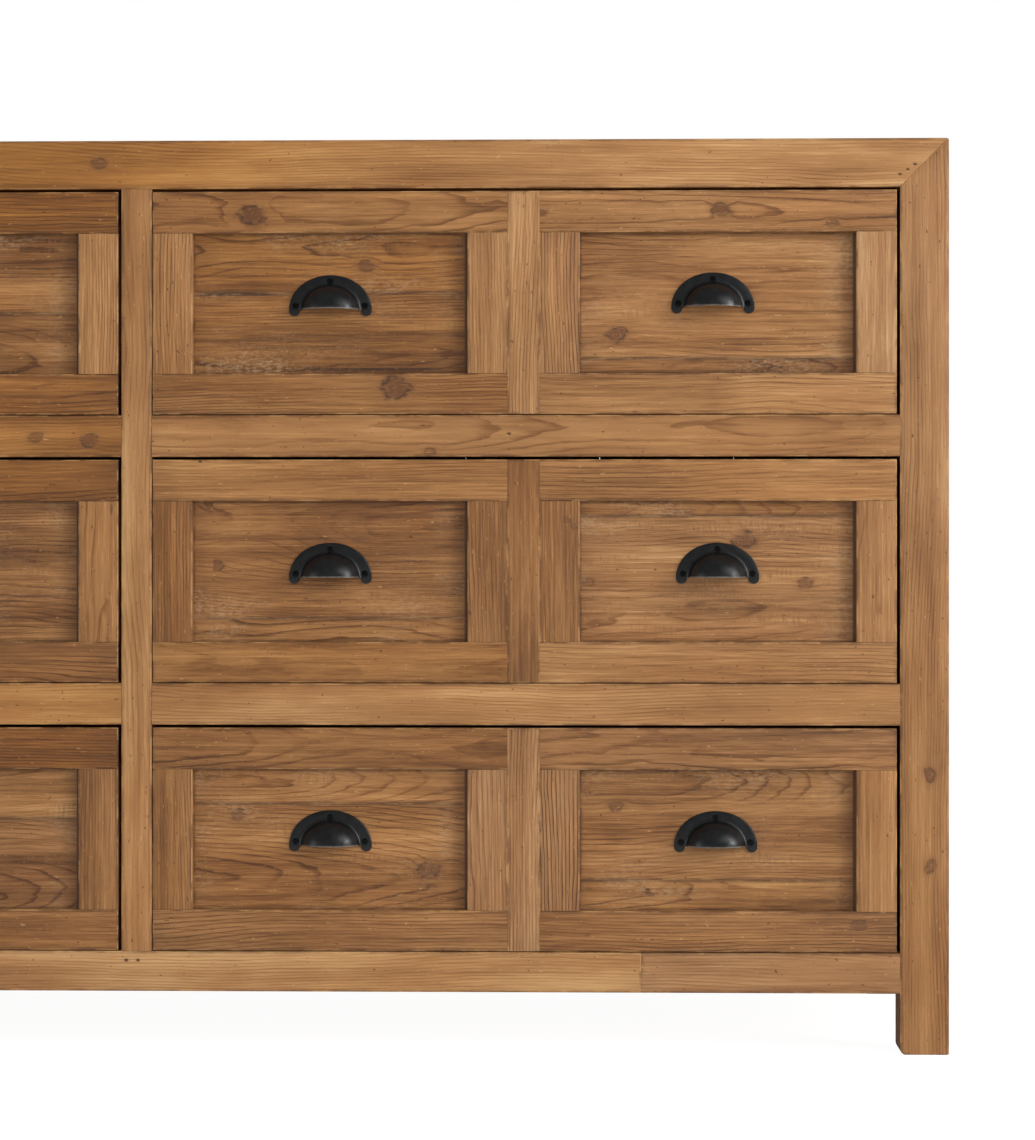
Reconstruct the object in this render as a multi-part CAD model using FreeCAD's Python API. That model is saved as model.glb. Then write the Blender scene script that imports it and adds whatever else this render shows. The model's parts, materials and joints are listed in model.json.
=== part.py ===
import FreeCAD, Part
import math
import os

# Wide chest of six drawers in solid pine, free standing on its four corner posts.
# Millimetres. X runs to the right, Y runs from front to back, Z runs up from the floor.
# The origin is on the floor, under the middle of the whole object, cup pulls included.

Vector = FreeCAD.Vector

# Carcass
overall_width = 1600.0
overall_depth = 480.0
overall_height = 900.0
post_section = 48.0             # the corner posts and the mitred top frame share this square
outer_edge_radius = 3.0         # rounding along the outermost edges of posts and top frame
leg_clearance = 60.0            # from the floor to the underside of the bottom rails
bottom_rail_height = 39.5
mid_rail_height = 41.0
face_frame_thickness = 24.0     # rails and centre stile between the posts, front to back
center_stile_width = 30.0
bottom_rail_joint_x = 498.0     # the front bottom rail is two lengths butted here
tenon_length = 20.0
tenon_thickness = 8.0
tenon_shoulder = 6.0            # what the rail has above and below its tenon

# Boards that close the carcass
top_board_thickness = 22.0
top_board_count = 5
top_tongue_thickness = 8.0
top_tongue_lift = 4.0           # from the underside of the boards to their tongue
side_board_thickness = 14.0
side_board_count = 4
side_recess = 9.0               # the side boards lie back from the posts' outer faces
back_board_thickness = 10.0
back_board_count = 10
back_board_gap = 0.6            # room for the back boards to swell
back_rebate = 10.0              # how far the back boards lap onto posts and rails
partition_thickness = 18.0

# Tongues and grooves of every framed panel
tongue_thickness = 6.0
groove_depth = 8.0
panel_float = 0.5               # a tongue stops this short of the bottom of its groove

# Drawer fronts, inset flush with the face frame
gap_above_front = 2.8
gap_below_front = 0.8
gap_left_of_front = 0.8
gap_right_of_front = 3.2
front_thickness = 20.0
front_top_rail_height = 41.0
front_bottom_rail_height = 40.0
front_stile_width = 39.5
front_muntin_width = 31.5
panel_recess = 9.0
panel_thickness = 11.0          # the back of the panel is flush with the back of its frame

# Drawer boxes
box_board_thickness = 14.0
box_side_gap = 2.0              # between a drawer side and its guide
box_running_gap = 0.4           # between a drawer side and the runner under it
box_gap_above = 9.0             # from the top of a drawer side to the rail over it
box_bottom_thickness = 6.0
box_bottom_lift = 12.0          # from the lower edge of the sides to the drawer bottom
box_groove_depth = 6.0
dovetail_count = 3
dovetail_slope = 1.0 / 7.0
dovetail_share = 0.62           # how much of each dovetail pitch the tail takes at its wide end

# Runners, guides and stops
runner_height = 20.0
runner_reach = 18.0             # how far a runner reaches in under the drawer from its guide
guide_height = 14.0
stop_length = 15.0
stop_height = 20.0
stop_gap = 0.3

# Cast cup pulls, two on each drawer
pull_half_width = 41.0
pull_top = 34.5                 # heights on the pull are counted from the lip of its cup
pull_shoulder = 4.0             # where the sides of the flange turn straight down
pull_lobe_radius = 5.4
pull_lobe_center = -0.6
pull_flange_thickness = 2.2
cup_half_width = 30.0
cup_stand_out = 24.5
cup_wall = 2.0
cup_arc_steps = 5               # flats from the lip of the cup to its top
cup_oval_steps = 10             # flats across the cup, and across the top of the flange
lobe_steps = 4
pull_below_center = 6.0         # from the middle of the panel down to the lip of the cup
pull_nudges = {                 # pulls fitted a little off that place, across and up
    ("top", "right", 1): (-4.6, 1.8),
    ("bottom", "right", 1): (-1.9, 0.0),
}
screw_side_spacing = 34.2
screw_side_height = 3.8
screw_top_inset = 6.5           # from the top of the flange down to the upper screw
screw_head_radius = 3.0
screw_shank_radius = 1.4
screw_length = 12.0
screw_sides = 6

row_names = ("top", "middle", "bottom")
column_names = ("left", "right")

# Planes and spans worked out from the sizes above
pull_stand_out = cup_stand_out - panel_recess
front_y = (pull_stand_out - overall_depth) / 2
back_y = front_y + overall_depth
right_x = overall_width / 2
inner_x = right_x - post_section
side_inner_x = right_x - side_recess - side_board_thickness
between_posts_y = (front_y + post_section, back_y - post_section)
behind_face_frame_y = front_y + face_frame_thickness
back_board_y = back_y - back_board_thickness
bottom_rail_z = (leg_clearance, leg_clearance + bottom_rail_height)
top_rail_z = (overall_height - post_section, overall_height)
top_board_z = (overall_height - top_board_thickness, overall_height)
mid_rail_count = len(row_names) - 1
openings_height = top_rail_z[0] - bottom_rail_z[1] - mid_rail_count * mid_rail_height
opening_height = openings_height / len(row_names)
stile_tenon_length = 0.4 * center_stile_width
tongue_reach = groove_depth - panel_float


def block(xs, ys, zs):
    """A rectangular block between two limits along each axis."""
    corner = Vector(xs[0], ys[0], zs[0])
    return Part.makeBox(xs[1] - xs[0], ys[1] - ys[0], zs[1] - zs[0], corner)


def grow(span, by):
    return (span[0] - by, span[1] + by)


def mirror_x(shape):
    return shape.mirror(Vector(0, 0, 0), Vector(1, 0, 0))


def slices(span, count, gap=0.0):
    """Splits a span into equal boards with a gap between neighbours."""
    width = (span[1] - span[0] + gap) / count
    return [(span[0] + i * width, span[0] + (i + 1) * width - gap) for i in range(count)]


def opening_z(row):
    """Lower and upper edge of a row of drawer openings."""
    top = top_rail_z[0] - row * (opening_height + mid_rail_height)
    return (top - opening_height, top)


def opening_x(column):
    low = center_stile_width / 2
    return (low, inner_x) if column else (-inner_x, -low)


# Corner posts and top frame

def outer_rounded(bar, along, corner):
    """Rounds the one long edge of a bar that runs through the given outer corner."""
    def runs_through(edge):
        middle = edge.CenterOfMass
        offset = middle - corner
        return (offset - along * offset.dot(along)).Length < 1e-3
    return bar.makeFillet(outer_edge_radius, [e for e in bar.Edges if runs_through(e)])


def mitred(bar, corner, along, others):
    """Cuts the end of a bar for a three-way mitre, where a post and two rails share a corner."""
    for across, third in (others, others[::-1]):
        far = corner + across * post_section
        waste = Part.makePolygon([corner, far, far + along * post_section, corner])
        bar = bar.cut(Part.Face(waste).extrude(third * post_section))
    return bar


def corner_members():
    """Four posts and four top rails, whose ends meet in mitres at the four upper corners."""
    left_x, zs = -right_x, (0.0, overall_height)
    xs = {"left": (left_x, left_x + post_section), "right": (inner_x, right_x)}
    ys = {"front": (front_y, between_posts_y[0]), "back": (between_posts_y[1], back_y)}
    inward_x = {"left": Vector(1, 0, 0), "right": Vector(-1, 0, 0)}
    inward_y = {"front": Vector(0, 1, 0), "back": Vector(0, -1, 0)}
    outer_x = {"left": left_x, "right": right_x}
    outer_y = {"front": front_y, "back": back_y}
    down = Vector(0, 0, -1)
    rails = {}
    for side in ys:
        rails[side] = block((left_x, right_x), ys[side], top_rail_z)
        corner = Vector(left_x, outer_y[side], overall_height)
        rails[side] = outer_rounded(rails[side], inward_x["left"], corner)
    for side in xs:
        rails[side] = block(xs[side], (front_y, back_y), top_rail_z)
        corner = Vector(outer_x[side], front_y, overall_height)
        rails[side] = outer_rounded(rails[side], inward_y["front"], corner)
    posts = {}
    for end in ys:
        for side in xs:
            corner = Vector(outer_x[side], outer_y[end], overall_height)
            ux, uy = inward_x[side], inward_y[end]
            post = outer_rounded(block(xs[side], ys[end], zs), down, corner)
            posts[end, side] = mitred(post, corner, down, (ux, uy))
            rails[end] = mitred(rails[end], corner, ux, (uy, down))
            rails[side] = mitred(rails[side], corner, uy, (ux, down))
    return posts, rails


# Rails between the posts

def rail_along_x(xs, ys, zs, low_tenon, high_tenon):
    """A rail with a tenon of its own length at each end; a length of 0 leaves that end square."""
    rail = block(xs, ys, zs)
    middle = (ys[0] + ys[1]) / 2
    tenon_ys = (middle - tenon_thickness / 2, middle + tenon_thickness / 2)
    tenon_xs = (xs[0] - low_tenon, xs[1] + high_tenon)
    return rail.fuse(block(tenon_xs, tenon_ys, grow(zs, -tenon_shoulder))).removeSplitter()


def front_bottom_rail():
    ys = (front_y, behind_face_frame_y)
    left = rail_along_x((-inner_x, bottom_rail_joint_x), ys, bottom_rail_z, tenon_length, 0.0)
    right = rail_along_x((bottom_rail_joint_x, inner_x), ys, bottom_rail_z, 0.0, tenon_length)
    return [left, right]


def back_bottom_rail():
    ys = (back_y - face_frame_thickness, back_y)
    return rail_along_x((-inner_x, inner_x), ys, bottom_rail_z, tenon_length, tenon_length)


def side_bottom_rail():
    """The right-hand one; the left is its mirror image."""
    xs = (side_inner_x, right_x)
    rail = block(xs, between_posts_y, bottom_rail_z)
    middle = (xs[0] + xs[1]) / 2
    tenon_xs = (middle - tenon_thickness / 2, middle + tenon_thickness / 2)
    tenon_ys = grow(between_posts_y, tenon_length)
    tenon = block(tenon_xs, tenon_ys, grow(bottom_rail_z, -tenon_shoulder))
    return rail.fuse(tenon).removeSplitter()


def mid_rails():
    """Two rails on each side of the centre stile, one under each row but the lowest."""
    rails = []
    for column in range(len(column_names)):
        tenons = (stile_tenon_length, tenon_length) if column else (tenon_length, stile_tenon_length)
        for row in range(mid_rail_count):
            top = opening_z(row)[0]
            ys = (front_y, behind_face_frame_y)
            rails.append(rail_along_x(opening_x(column), ys, (top - mid_rail_height, top), *tenons))
    return rails


def center_stile():
    """The upright between the two columns, tenoned into the top and bottom rails."""
    xs = (-center_stile_width / 2, center_stile_width / 2)
    zs = (bottom_rail_z[1], top_rail_z[0])
    middle = (front_y + behind_face_frame_y) / 2
    tenon_ys = (middle - tenon_thickness / 2, middle + tenon_thickness / 2)
    stile = block(xs, (front_y, behind_face_frame_y), zs)
    tenon = block(grow(xs, -tenon_shoulder), tenon_ys, grow(zs, stile_tenon_length))
    return stile.fuse(tenon).removeSplitter()


# Boarded panels of the carcass. Each returns its boards and the groove that its tongue needs.

def sawn_into_boards(panel, xs, zs, count):
    """Cuts a panel that spans the posts front to back, tongues included, into equal boards."""
    joints = slices(between_posts_y, count)
    board_ys = [list(ys) for ys in joints]
    board_ys[0][0] -= groove_depth
    board_ys[-1][1] += groove_depth
    return [panel.common(block(xs, ys, zs)).removeSplitter() for ys in board_ys]


def top_boards():
    xs, zs = (-inner_x, inner_x), top_board_z
    tongue_low = zs[0] + top_tongue_lift
    tongue_zs = (tongue_low, tongue_low + top_tongue_thickness)
    tongue = block(grow(xs, tongue_reach), grow(between_posts_y, tongue_reach), tongue_zs)
    panel = block(xs, between_posts_y, zs).fuse(tongue)
    groove = block(grow(xs, groove_depth), grow(between_posts_y, groove_depth), tongue_zs)
    return sawn_into_boards(panel, grow(xs, groove_depth), zs, top_board_count), groove


def side_boards():
    """Upright boards of the right side, framed by the posts and the side rails."""
    xs = (side_inner_x, right_x - side_recess)
    zs = (bottom_rail_z[1], top_rail_z[0])
    tongue_xs = (xs[1] - tongue_thickness, xs[1])
    tongue = block(tongue_xs, grow(between_posts_y, tongue_reach), grow(zs, tongue_reach))
    panel = block(xs, between_posts_y, zs).fuse(tongue)
    groove = block(tongue_xs, grow(between_posts_y, groove_depth), grow(zs, groove_depth))
    return sawn_into_boards(panel, xs, grow(zs, groove_depth), side_board_count), groove


def back_boards():
    """Upright boards let into a rebate round the back, flush with the posts."""
    xs = grow((-inner_x, inner_x), back_rebate)
    zs = grow((bottom_rail_z[1], top_rail_z[0]), back_rebate)
    ys = (back_board_y, back_y)
    boards = [block(board_xs, ys, zs) for board_xs in slices(xs, back_board_count, back_board_gap)]
    return boards, block(xs, ys, zs)


def center_partition(neighbours):
    """The upright board behind the centre stile, notched round the rails that cross it."""
    xs = (-partition_thickness / 2, partition_thickness / 2)
    board = block(xs, (behind_face_frame_y, back_board_y), (bottom_rail_z[0], top_board_z[0]))
    return board.cut(neighbours)


# Runners and stops

def runner(column, row, inner_side):
    """An L-shaped strip: the drawer side slides on its foot and along its upright guide."""
    opening = opening_x(column)
    seat = opening_z(row)[0]
    toward_right = (column == 0) == inner_side
    edge = opening[1] if toward_right else opening[0]
    fixed = partition_thickness / 2 if inner_side else side_inner_x
    fixed = fixed if column else -fixed
    reach = edge - runner_reach if toward_right else edge + runner_reach
    ys = (behind_face_frame_y, back_board_y)
    foot = block(sorted((fixed, reach)), ys, (seat - runner_height, seat))
    guide = block(sorted((fixed, edge)), ys, (seat, seat + guide_height))
    return foot.fuse(guide).removeSplitter()


def drawer_stop(column, row, inner_side):
    """A small block on the rear end of a runner, just behind the drawer side."""
    box_xs = grow(opening_x(column), -box_side_gap)
    toward_right = (column == 0) == inner_side
    if toward_right:
        xs = (box_xs[1] - box_board_thickness, box_xs[1])
    else:
        xs = (box_xs[0], box_xs[0] + box_board_thickness)
    seat = opening_z(row)[0]
    return block(xs, (back_board_y - stop_length, back_board_y), (seat, seat + stop_height))


# Drawer fronts

def front_limits(column, row):
    xs, zs = opening_x(column), opening_z(row)
    xs = (xs[0] + gap_left_of_front, xs[1] - gap_right_of_front)
    return xs, (zs[0] + gap_below_front, zs[1] - gap_above_front)


def panel_limits(column, row):
    """Sight size of the two recessed panels of a drawer front, left one first."""
    xs, zs = front_limits(column, row)
    middle = (xs[0] + xs[1]) / 2
    half_muntin = front_muntin_width / 2
    left = (xs[0] + front_stile_width, middle - half_muntin - front_stile_width)
    right = (middle + half_muntin + front_stile_width, xs[1] - front_stile_width)
    panel_zs = (zs[0] + front_bottom_rail_height, zs[1] - front_top_rail_height)
    return (left, right), panel_zs


def front_panels(column, row):
    """Two panels, each with a tongue all round, and the grooves that hold them."""
    panels_xs, zs = panel_limits(column, row)
    face_y = front_y + panel_recess
    field_ys = (face_y, face_y + panel_thickness)
    tongue_ys = (face_y, face_y + tongue_thickness)
    panels, grooves = [], []
    for xs in panels_xs:
        tongue = block(grow(xs, tongue_reach), tongue_ys, grow(zs, tongue_reach))
        panels.append(block(xs, field_ys, zs).fuse(tongue).removeSplitter())
        grooves.append(block(grow(xs, groove_depth), tongue_ys, grow(zs, groove_depth)))
    return panels, grooves


def front_frame(column, row):
    """Muntin, four rails and four stiles, with stub tenons as deep as the panel grooves."""
    xs, zs = front_limits(column, row)
    panels_xs, panel_zs = panel_limits(column, row)
    ys = (front_y, front_y + front_thickness)
    tenon_ys = (front_y + panel_recess, front_y + panel_recess + tongue_thickness)
    middle = (xs[0] + xs[1]) / 2
    muntin_xs = (middle - front_muntin_width / 2, middle + front_muntin_width / 2)
    halves = ((xs[0], muntin_xs[0]), (muntin_xs[1], xs[1]))
    grooves = front_panels(column, row)[1]

    stiles, rails = [], []
    for half, panel_xs in zip(halves, panels_xs):
        for stile_xs in ((half[0], panel_xs[0]), (panel_xs[1], half[1])):
            stile = block(stile_xs, ys, panel_zs)
            tenon = block(stile_xs, tenon_ys, grow(panel_zs, groove_depth))
            stiles.append(stile.fuse(tenon).cut(grooves).removeSplitter())
        meets_muntin = half[1] == muntin_xs[0]
        tenon_xs = list(half)
        if meets_muntin:
            tenon_xs[1] += groove_depth
        else:
            tenon_xs[0] -= groove_depth
        upper = ((panel_zs[1], zs[1]), (panel_zs[1] + groove_depth, zs[1] - tenon_shoulder))
        lower = ((zs[0], panel_zs[0]), (zs[0] + tenon_shoulder, panel_zs[0] - groove_depth))
        for rail_zs, tenon_zs in (upper, lower):
            rail = block(half, ys, rail_zs).fuse(block(tenon_xs, tenon_ys, tenon_zs))
            rails.append(rail.cut(grooves + stiles).removeSplitter())
    muntin = block(muntin_xs, ys, zs).cut(rails).removeSplitter()
    return [muntin] + rails + stiles


# Dovetailed drawer boxes

def tails(xs, shoulder_y, end_y, zs):
    """Dovetails on one end of a drawer side, wider at their ends than at their shoulders."""
    pitch = (zs[1] - zs[0]) / dovetail_count
    half_end = dovetail_share * pitch / 2
    half_root = half_end - dovetail_slope * abs(end_y - shoulder_y)
    shapes = []
    for i in range(dovetail_count):
        middle = zs[0] + (i + 0.5) * pitch
        outline = [
            Vector(xs[0], shoulder_y, middle - half_root),
            Vector(xs[0], end_y, middle - half_end),
            Vector(xs[0], end_y, middle + half_end),
            Vector(xs[0], shoulder_y, middle + half_root),
        ]
        face = Part.Face(Part.makePolygon(outline + outline[:1]))
        shapes.append(face.extrude(Vector(xs[1] - xs[0], 0, 0)))
    return shapes


def drawer_box(column, row):
    """Front, back and two sides joined by through dovetails, and the bottom in its groove."""
    outer_xs = grow(opening_x(column), -box_side_gap)
    inner_xs = grow(outer_xs, -box_board_thickness)
    outer_ys = (front_y + front_thickness, back_board_y - stop_length - stop_gap)
    inner_ys = grow(outer_ys, -box_board_thickness)
    opening_zs = opening_z(row)
    zs = (opening_zs[0] + box_running_gap, opening_zs[1] - box_gap_above)
    bottom_low = zs[0] + box_bottom_lift
    bottom_zs = (bottom_low, bottom_low + box_bottom_thickness)
    back_zs = (bottom_zs[1], zs[1])

    bottom_ys = (inner_ys[0] - box_groove_depth, outer_ys[1])
    bottom = block(grow(inner_xs, box_groove_depth), bottom_ys, bottom_zs)
    front = block(outer_xs, (outer_ys[0], inner_ys[0]), zs)
    back = block(outer_xs, (inner_ys[1], outer_ys[1]), back_zs)
    sides = []
    for side_xs in ((outer_xs[0], inner_xs[0]), (inner_xs[1], outer_xs[1])):
        front_tails = tails(side_xs, inner_ys[0], outer_ys[0], zs)
        back_tails = tails(side_xs, inner_ys[1], outer_ys[1], back_zs)
        front = front.cut(front_tails)
        back = back.cut(back_tails)
        side = block(side_xs, inner_ys, zs).fuse(front_tails + back_tails)
        sides.append(side.cut(bottom).removeSplitter())
    return [front.cut(bottom).removeSplitter(), back.removeSplitter()] + sides, bottom


# Cup pulls

def half_oval(half_width, height, steps):
    """Points of the upper half of an oval, from its right end over the top to its left end."""
    angles = [math.pi * i / steps for i in range(steps + 1)]
    return [(half_width * math.cos(a), height * math.sin(a)) for a in angles]


def flange_face():
    """Front outline of the flange: an oval top whose sides end in two rounded lobes."""
    top = half_oval(pull_half_width, pull_top - pull_shoulder, cup_oval_steps)
    top = [(x, pull_shoulder + z) for x, z in top]
    center = pull_half_width - pull_lobe_radius
    angles = [math.pi * i / lobe_steps for i in range(lobe_steps + 1)]
    left = [(-center - pull_lobe_radius * math.cos(a), pull_lobe_center - pull_lobe_radius * math.sin(a))
            for a in angles]
    right = [(-x, z) for x, z in left[::-1]]
    lobe_inner = center - pull_lobe_radius
    outline = top + left + [(-lobe_inner, 0.0), (lobe_inner, 0.0)] + right
    points = [Vector(x, 0, z) for x, z in outline]
    return Part.Face(Part.makePolygon(points + points[:1]))


def flat_sided_loft(sections):
    """A loft straight from section to section, each of its facets a true plane."""
    facets = []
    for face in Part.makeLoft(sections, True, True).Faces:
        points = [vertex.Point for vertex in face.OuterWire.OrderedVertexes]
        facets.append(Part.Face(Part.makePolygon(points + points[:1])))
    shell = Part.Shell(facets)
    shell.sewShape()
    return Part.Solid(shell)


def quarter_dome(half_width, radius):
    """A quarter of an oval dome, lofted from its open lip up to its top."""
    sections = []
    for i in range(cup_arc_steps):
        angle = math.pi / 2 * i / cup_arc_steps
        scale = math.cos(angle)
        oval = half_oval(half_width * scale, radius * scale, cup_oval_steps)
        points = [Vector(x, -y, radius * math.sin(angle)) for x, y in oval]
        sections.append(Part.makePolygon(points + points[:1]))
    return flat_sided_loft(sections + [Part.Vertex(0, 0, radius)])


def faceted_cone(radius, end_radius, length):
    """A many-sided cone that runs back from the origin along Y."""
    rings = []
    for ring_radius, y in ((radius, 0.0), (end_radius, length)):
        angles = [2 * math.pi * (i + 0.5) / screw_sides for i in range(screw_sides)]
        points = [Vector(ring_radius * math.cos(a), y, ring_radius * math.sin(a)) for a in angles]
        rings.append(Part.makePolygon(points + points[:1]))
    return flat_sided_loft(rings)


def screw_places():
    top = (0.0, pull_top - screw_top_inset)
    return [top, (-screw_side_spacing, screw_side_height), (screw_side_spacing, screw_side_height)]


def screw():
    """A countersunk screw, its head flush with the front of the flange and its point at the back."""
    head_depth = pull_flange_thickness
    head = faceted_cone(screw_head_radius, screw_shank_radius, head_depth)
    shank = faceted_cone(screw_shank_radius, screw_shank_radius / 2, screw_length - head_depth)
    return head.fuse(shank.translated(Vector(0, head_depth, 0))).removeSplitter()


def cup_pull():
    """Flange and cup cast in one, seated on the plane Y = 0, with three countersunk holes."""
    flange = flange_face().extrude(Vector(0, -pull_flange_thickness, 0))
    cup = quarter_dome(cup_half_width, cup_stand_out)
    hollow = quarter_dome(cup_half_width - cup_wall, cup_stand_out - cup_wall)
    holes = [screw().translated(Vector(x, -pull_flange_thickness, z)) for x, z in screw_places()]
    return flange.fuse(cup).cut([hollow] + holes).removeSplitter()


def pull_places(column, row):
    """Where the lip of each cup meets the face of its panel."""
    panels_xs, zs = panel_limits(column, row)
    lip = (zs[0] + zs[1]) / 2 - pull_below_center
    places = []
    for side, xs in enumerate(panels_xs):
        across, up = pull_nudges.get((row_names[row], column_names[column], side), (0.0, 0.0))
        places.append(Vector((xs[0] + xs[1]) / 2 + across, front_y + panel_recess, lip + up))
    return places


# The whole chest

def build_carcass():
    posts, top_rails = corner_members()
    bottom_front, bottom_back = front_bottom_rail(), back_bottom_rail()
    bottom_right = side_bottom_rail()
    bottom_left = mirror_x(bottom_right)
    rails, stile = mid_rails(), center_stile()
    top, top_groove = top_boards()
    right_boards, right_groove = side_boards()
    left_groove = mirror_x(right_groove)
    back, back_seat = back_boards()

    top_rails = {k: r.cut([top_groove, right_groove, left_groove, back_seat, stile])
                 for k, r in top_rails.items()}
    entering = bottom_front + [bottom_back, bottom_left, bottom_right] + rails
    entering += [right_groove, left_groove, back_seat]
    posts = {k: p.cut(entering).removeSplitter() for k, p in posts.items()}
    bottom_front = [r.cut(stile) for r in bottom_front]
    bottom_back = bottom_back.cut(back_seat)
    stile = stile.cut(rails)
    partition = center_partition([top_rails["front"], top_rails["back"], bottom_back])

    solid_neighbours = list(posts.values()) + [bottom_back]
    runners = {"left": [], "center": [], "right": []}
    stops = []
    for column, name in enumerate(column_names):
        for row in range(len(row_names)):
            for inner_side in (False, True):
                strip = runner(column, row, inner_side).cut(solid_neighbours).removeSplitter()
                runners["center" if inner_side else name].append(strip)
                stops.append(drawer_stop(column, row, inner_side))

    nodes = {"post_" + end + "_" + side: [post] for (end, side), post in posts.items()}
    nodes.update({"top_rail_" + side: [rail] for side, rail in top_rails.items()})
    nodes["top_boards"] = top
    nodes["bottom_rail_front"] = bottom_front
    nodes["bottom_rail_back"] = [bottom_back]
    nodes["bottom_rail_left"] = [bottom_left.cut(left_groove)]
    nodes["bottom_rail_right"] = [bottom_right.cut(right_groove)]
    nodes["center_stile"] = [stile]
    nodes["center_partition"] = [partition]
    nodes["mid_rails"] = rails
    nodes["side_boards_left"] = [mirror_x(board) for board in right_boards]
    nodes["side_boards_right"] = right_boards
    nodes["back_boards"] = back
    for place, strips in runners.items():
        nodes["runners_" + place] = strips
    nodes["drawer_stops"] = stops
    return nodes


def build_drawer(column, row, pull, pull_screw):
    prefix = "drawer_" + row_names[row] + "_" + column_names[column]
    box, bottom = drawer_box(column, row)
    places = pull_places(column, row)
    head_plane = Vector(0, -pull_flange_thickness, 0)
    screws = [pull_screw.translated(place + head_plane + Vector(x, 0, z))
              for place in places for x, z in screw_places()]
    return {
        prefix + "_front_frame": front_frame(column, row),
        prefix + "_front_panels": front_panels(column, row)[0],
        prefix + "_box": box,
        prefix + "_bottom": [bottom],
        prefix + "_cup_pulls": [pull.translated(place) for place in places],
        prefix + "_pull_screws": screws,
    }


def main():
    nodes = build_carcass()
    pull, pull_screw = cup_pull(), screw()
    for column in range(len(column_names)):
        for row in range(len(row_names)):
            nodes.update(build_drawer(column, row, pull, pull_screw))
    os.makedirs("parts", exist_ok=True)
    for name, solids in nodes.items():
        Part.makeCompound(solids).exportStep("parts/" + name + ".step")
    print(len(nodes), "nodes,", sum(len(solids) for solids in nodes.values()), "solids")


main()
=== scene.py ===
# %% [markdown]
# A wide chest of six drawers in reclaimed pine, with black cast cup pulls. The solids of the chest are
# loaded first. They hold every joint of the real one, so each board is taken from them, gets its worn
# edges here, and then a wood finish that knows how that board was cut from its log.

# %% Load the solids and note their box
import itertools
import json
import math
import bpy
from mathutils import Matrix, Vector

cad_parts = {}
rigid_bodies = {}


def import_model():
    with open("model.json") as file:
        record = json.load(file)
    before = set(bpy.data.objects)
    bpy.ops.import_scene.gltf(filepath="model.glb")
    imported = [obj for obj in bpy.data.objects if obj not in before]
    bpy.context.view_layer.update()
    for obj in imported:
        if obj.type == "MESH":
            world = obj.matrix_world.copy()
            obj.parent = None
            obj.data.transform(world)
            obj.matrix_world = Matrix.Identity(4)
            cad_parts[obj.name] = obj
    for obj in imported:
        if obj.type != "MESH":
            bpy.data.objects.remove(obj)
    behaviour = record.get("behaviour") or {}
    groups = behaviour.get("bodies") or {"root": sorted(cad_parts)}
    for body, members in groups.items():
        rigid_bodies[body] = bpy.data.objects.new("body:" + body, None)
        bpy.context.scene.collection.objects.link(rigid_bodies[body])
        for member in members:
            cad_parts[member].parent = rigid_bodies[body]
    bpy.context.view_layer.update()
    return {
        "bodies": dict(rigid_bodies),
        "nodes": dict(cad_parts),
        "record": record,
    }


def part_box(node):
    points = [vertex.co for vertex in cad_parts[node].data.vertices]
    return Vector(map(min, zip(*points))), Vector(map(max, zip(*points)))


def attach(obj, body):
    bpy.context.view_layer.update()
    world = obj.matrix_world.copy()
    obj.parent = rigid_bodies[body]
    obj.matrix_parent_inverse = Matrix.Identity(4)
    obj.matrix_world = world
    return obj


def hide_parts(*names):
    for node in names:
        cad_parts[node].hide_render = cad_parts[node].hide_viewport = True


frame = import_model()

from types import SimpleNamespace

import bmesh
import bpy
from mathutils import Matrix, Vector

# %% [markdown]
# The photograph is a level front view of the right part of the chest. A wide lens from close by would show
# too much of the inner walls. A long lens three metres away, turned a little to the left, gives the same
# slight narrowing of the chest towards the left.

# %% Camera
front_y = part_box("post_front_left")[0].y
sensor_width, lens = 36.0, 96.29          # in millimetres
camera_x, camera_height, camera_distance = 0.4571, 0.4758, 3.0
turned_left = 0.02688                     # in radians
camera = bpy.data.objects.new("camera", bpy.data.cameras.new("camera"))
camera.data.sensor_width = sensor_width
camera.data.lens = lens
camera.location = (camera_x, front_y - camera_distance, camera_height)
camera.rotation_euler = (math.pi / 2, 0.0, turned_left)
bpy.context.scene.collection.objects.link(camera)
bpy.context.scene.camera = camera
bpy.context.scene.view_settings.view_transform = "Standard"
print("front plane at y =", round(front_y, 4))

# %% [markdown]
# Materials are built from nodes. They could be joined by hand in the editor, but these few helpers add one
# node each and join it up, so that a recipe further down reads as a list of steps. A value may be a plain
# number or the output of an earlier node. The first helpers make numbers.

# %% Nodes for numbers


def join_up(tree, socket, value):
    """Links another node's output to a socket, or writes a plain value into it."""
    if isinstance(value, bpy.types.NodeSocket):
        tree.links.new(value, socket)
    else:
        socket.default_value = value


def calc(tree, operation, *values):
    node = tree.nodes.new("ShaderNodeMath")
    node.operation = operation
    for socket, value in zip(node.inputs, values):
        join_up(tree, socket, value)
    return node.outputs[0]


def stretched(tree, vector, scale):
    """A vector multiplied axis by axis."""
    node = tree.nodes.new("ShaderNodeVectorMath")
    node.operation = "MULTIPLY"
    tree.links.new(vector, node.inputs[0])
    node.inputs[1].default_value = scale
    return node.outputs[0]


def noise(tree, vector, scale=1.0, detail=2.0, roughness=0.5):
    node = tree.nodes.new("ShaderNodeTexNoise")
    tree.links.new(vector, node.inputs["Vector"])
    node.inputs["Scale"].default_value = scale
    node.inputs["Detail"].default_value = detail
    node.inputs["Roughness"].default_value = roughness
    return node.outputs["Fac"]


def remap(tree, value, from_low, from_high, to_low=0.0, to_high=1.0):
    """One range of values turned into another, with soft ends."""
    node = tree.nodes.new("ShaderNodeMapRange")
    node.interpolation_type = "SMOOTHSTEP"
    for name, number in zip(("Value", "From Min", "From Max", "To Min", "To Max"),
                            (value, from_low, from_high, to_low, to_high)):
        join_up(tree, node.inputs[name], number)
    return node.outputs[0]


print("nodes for numbers are ready")

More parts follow.
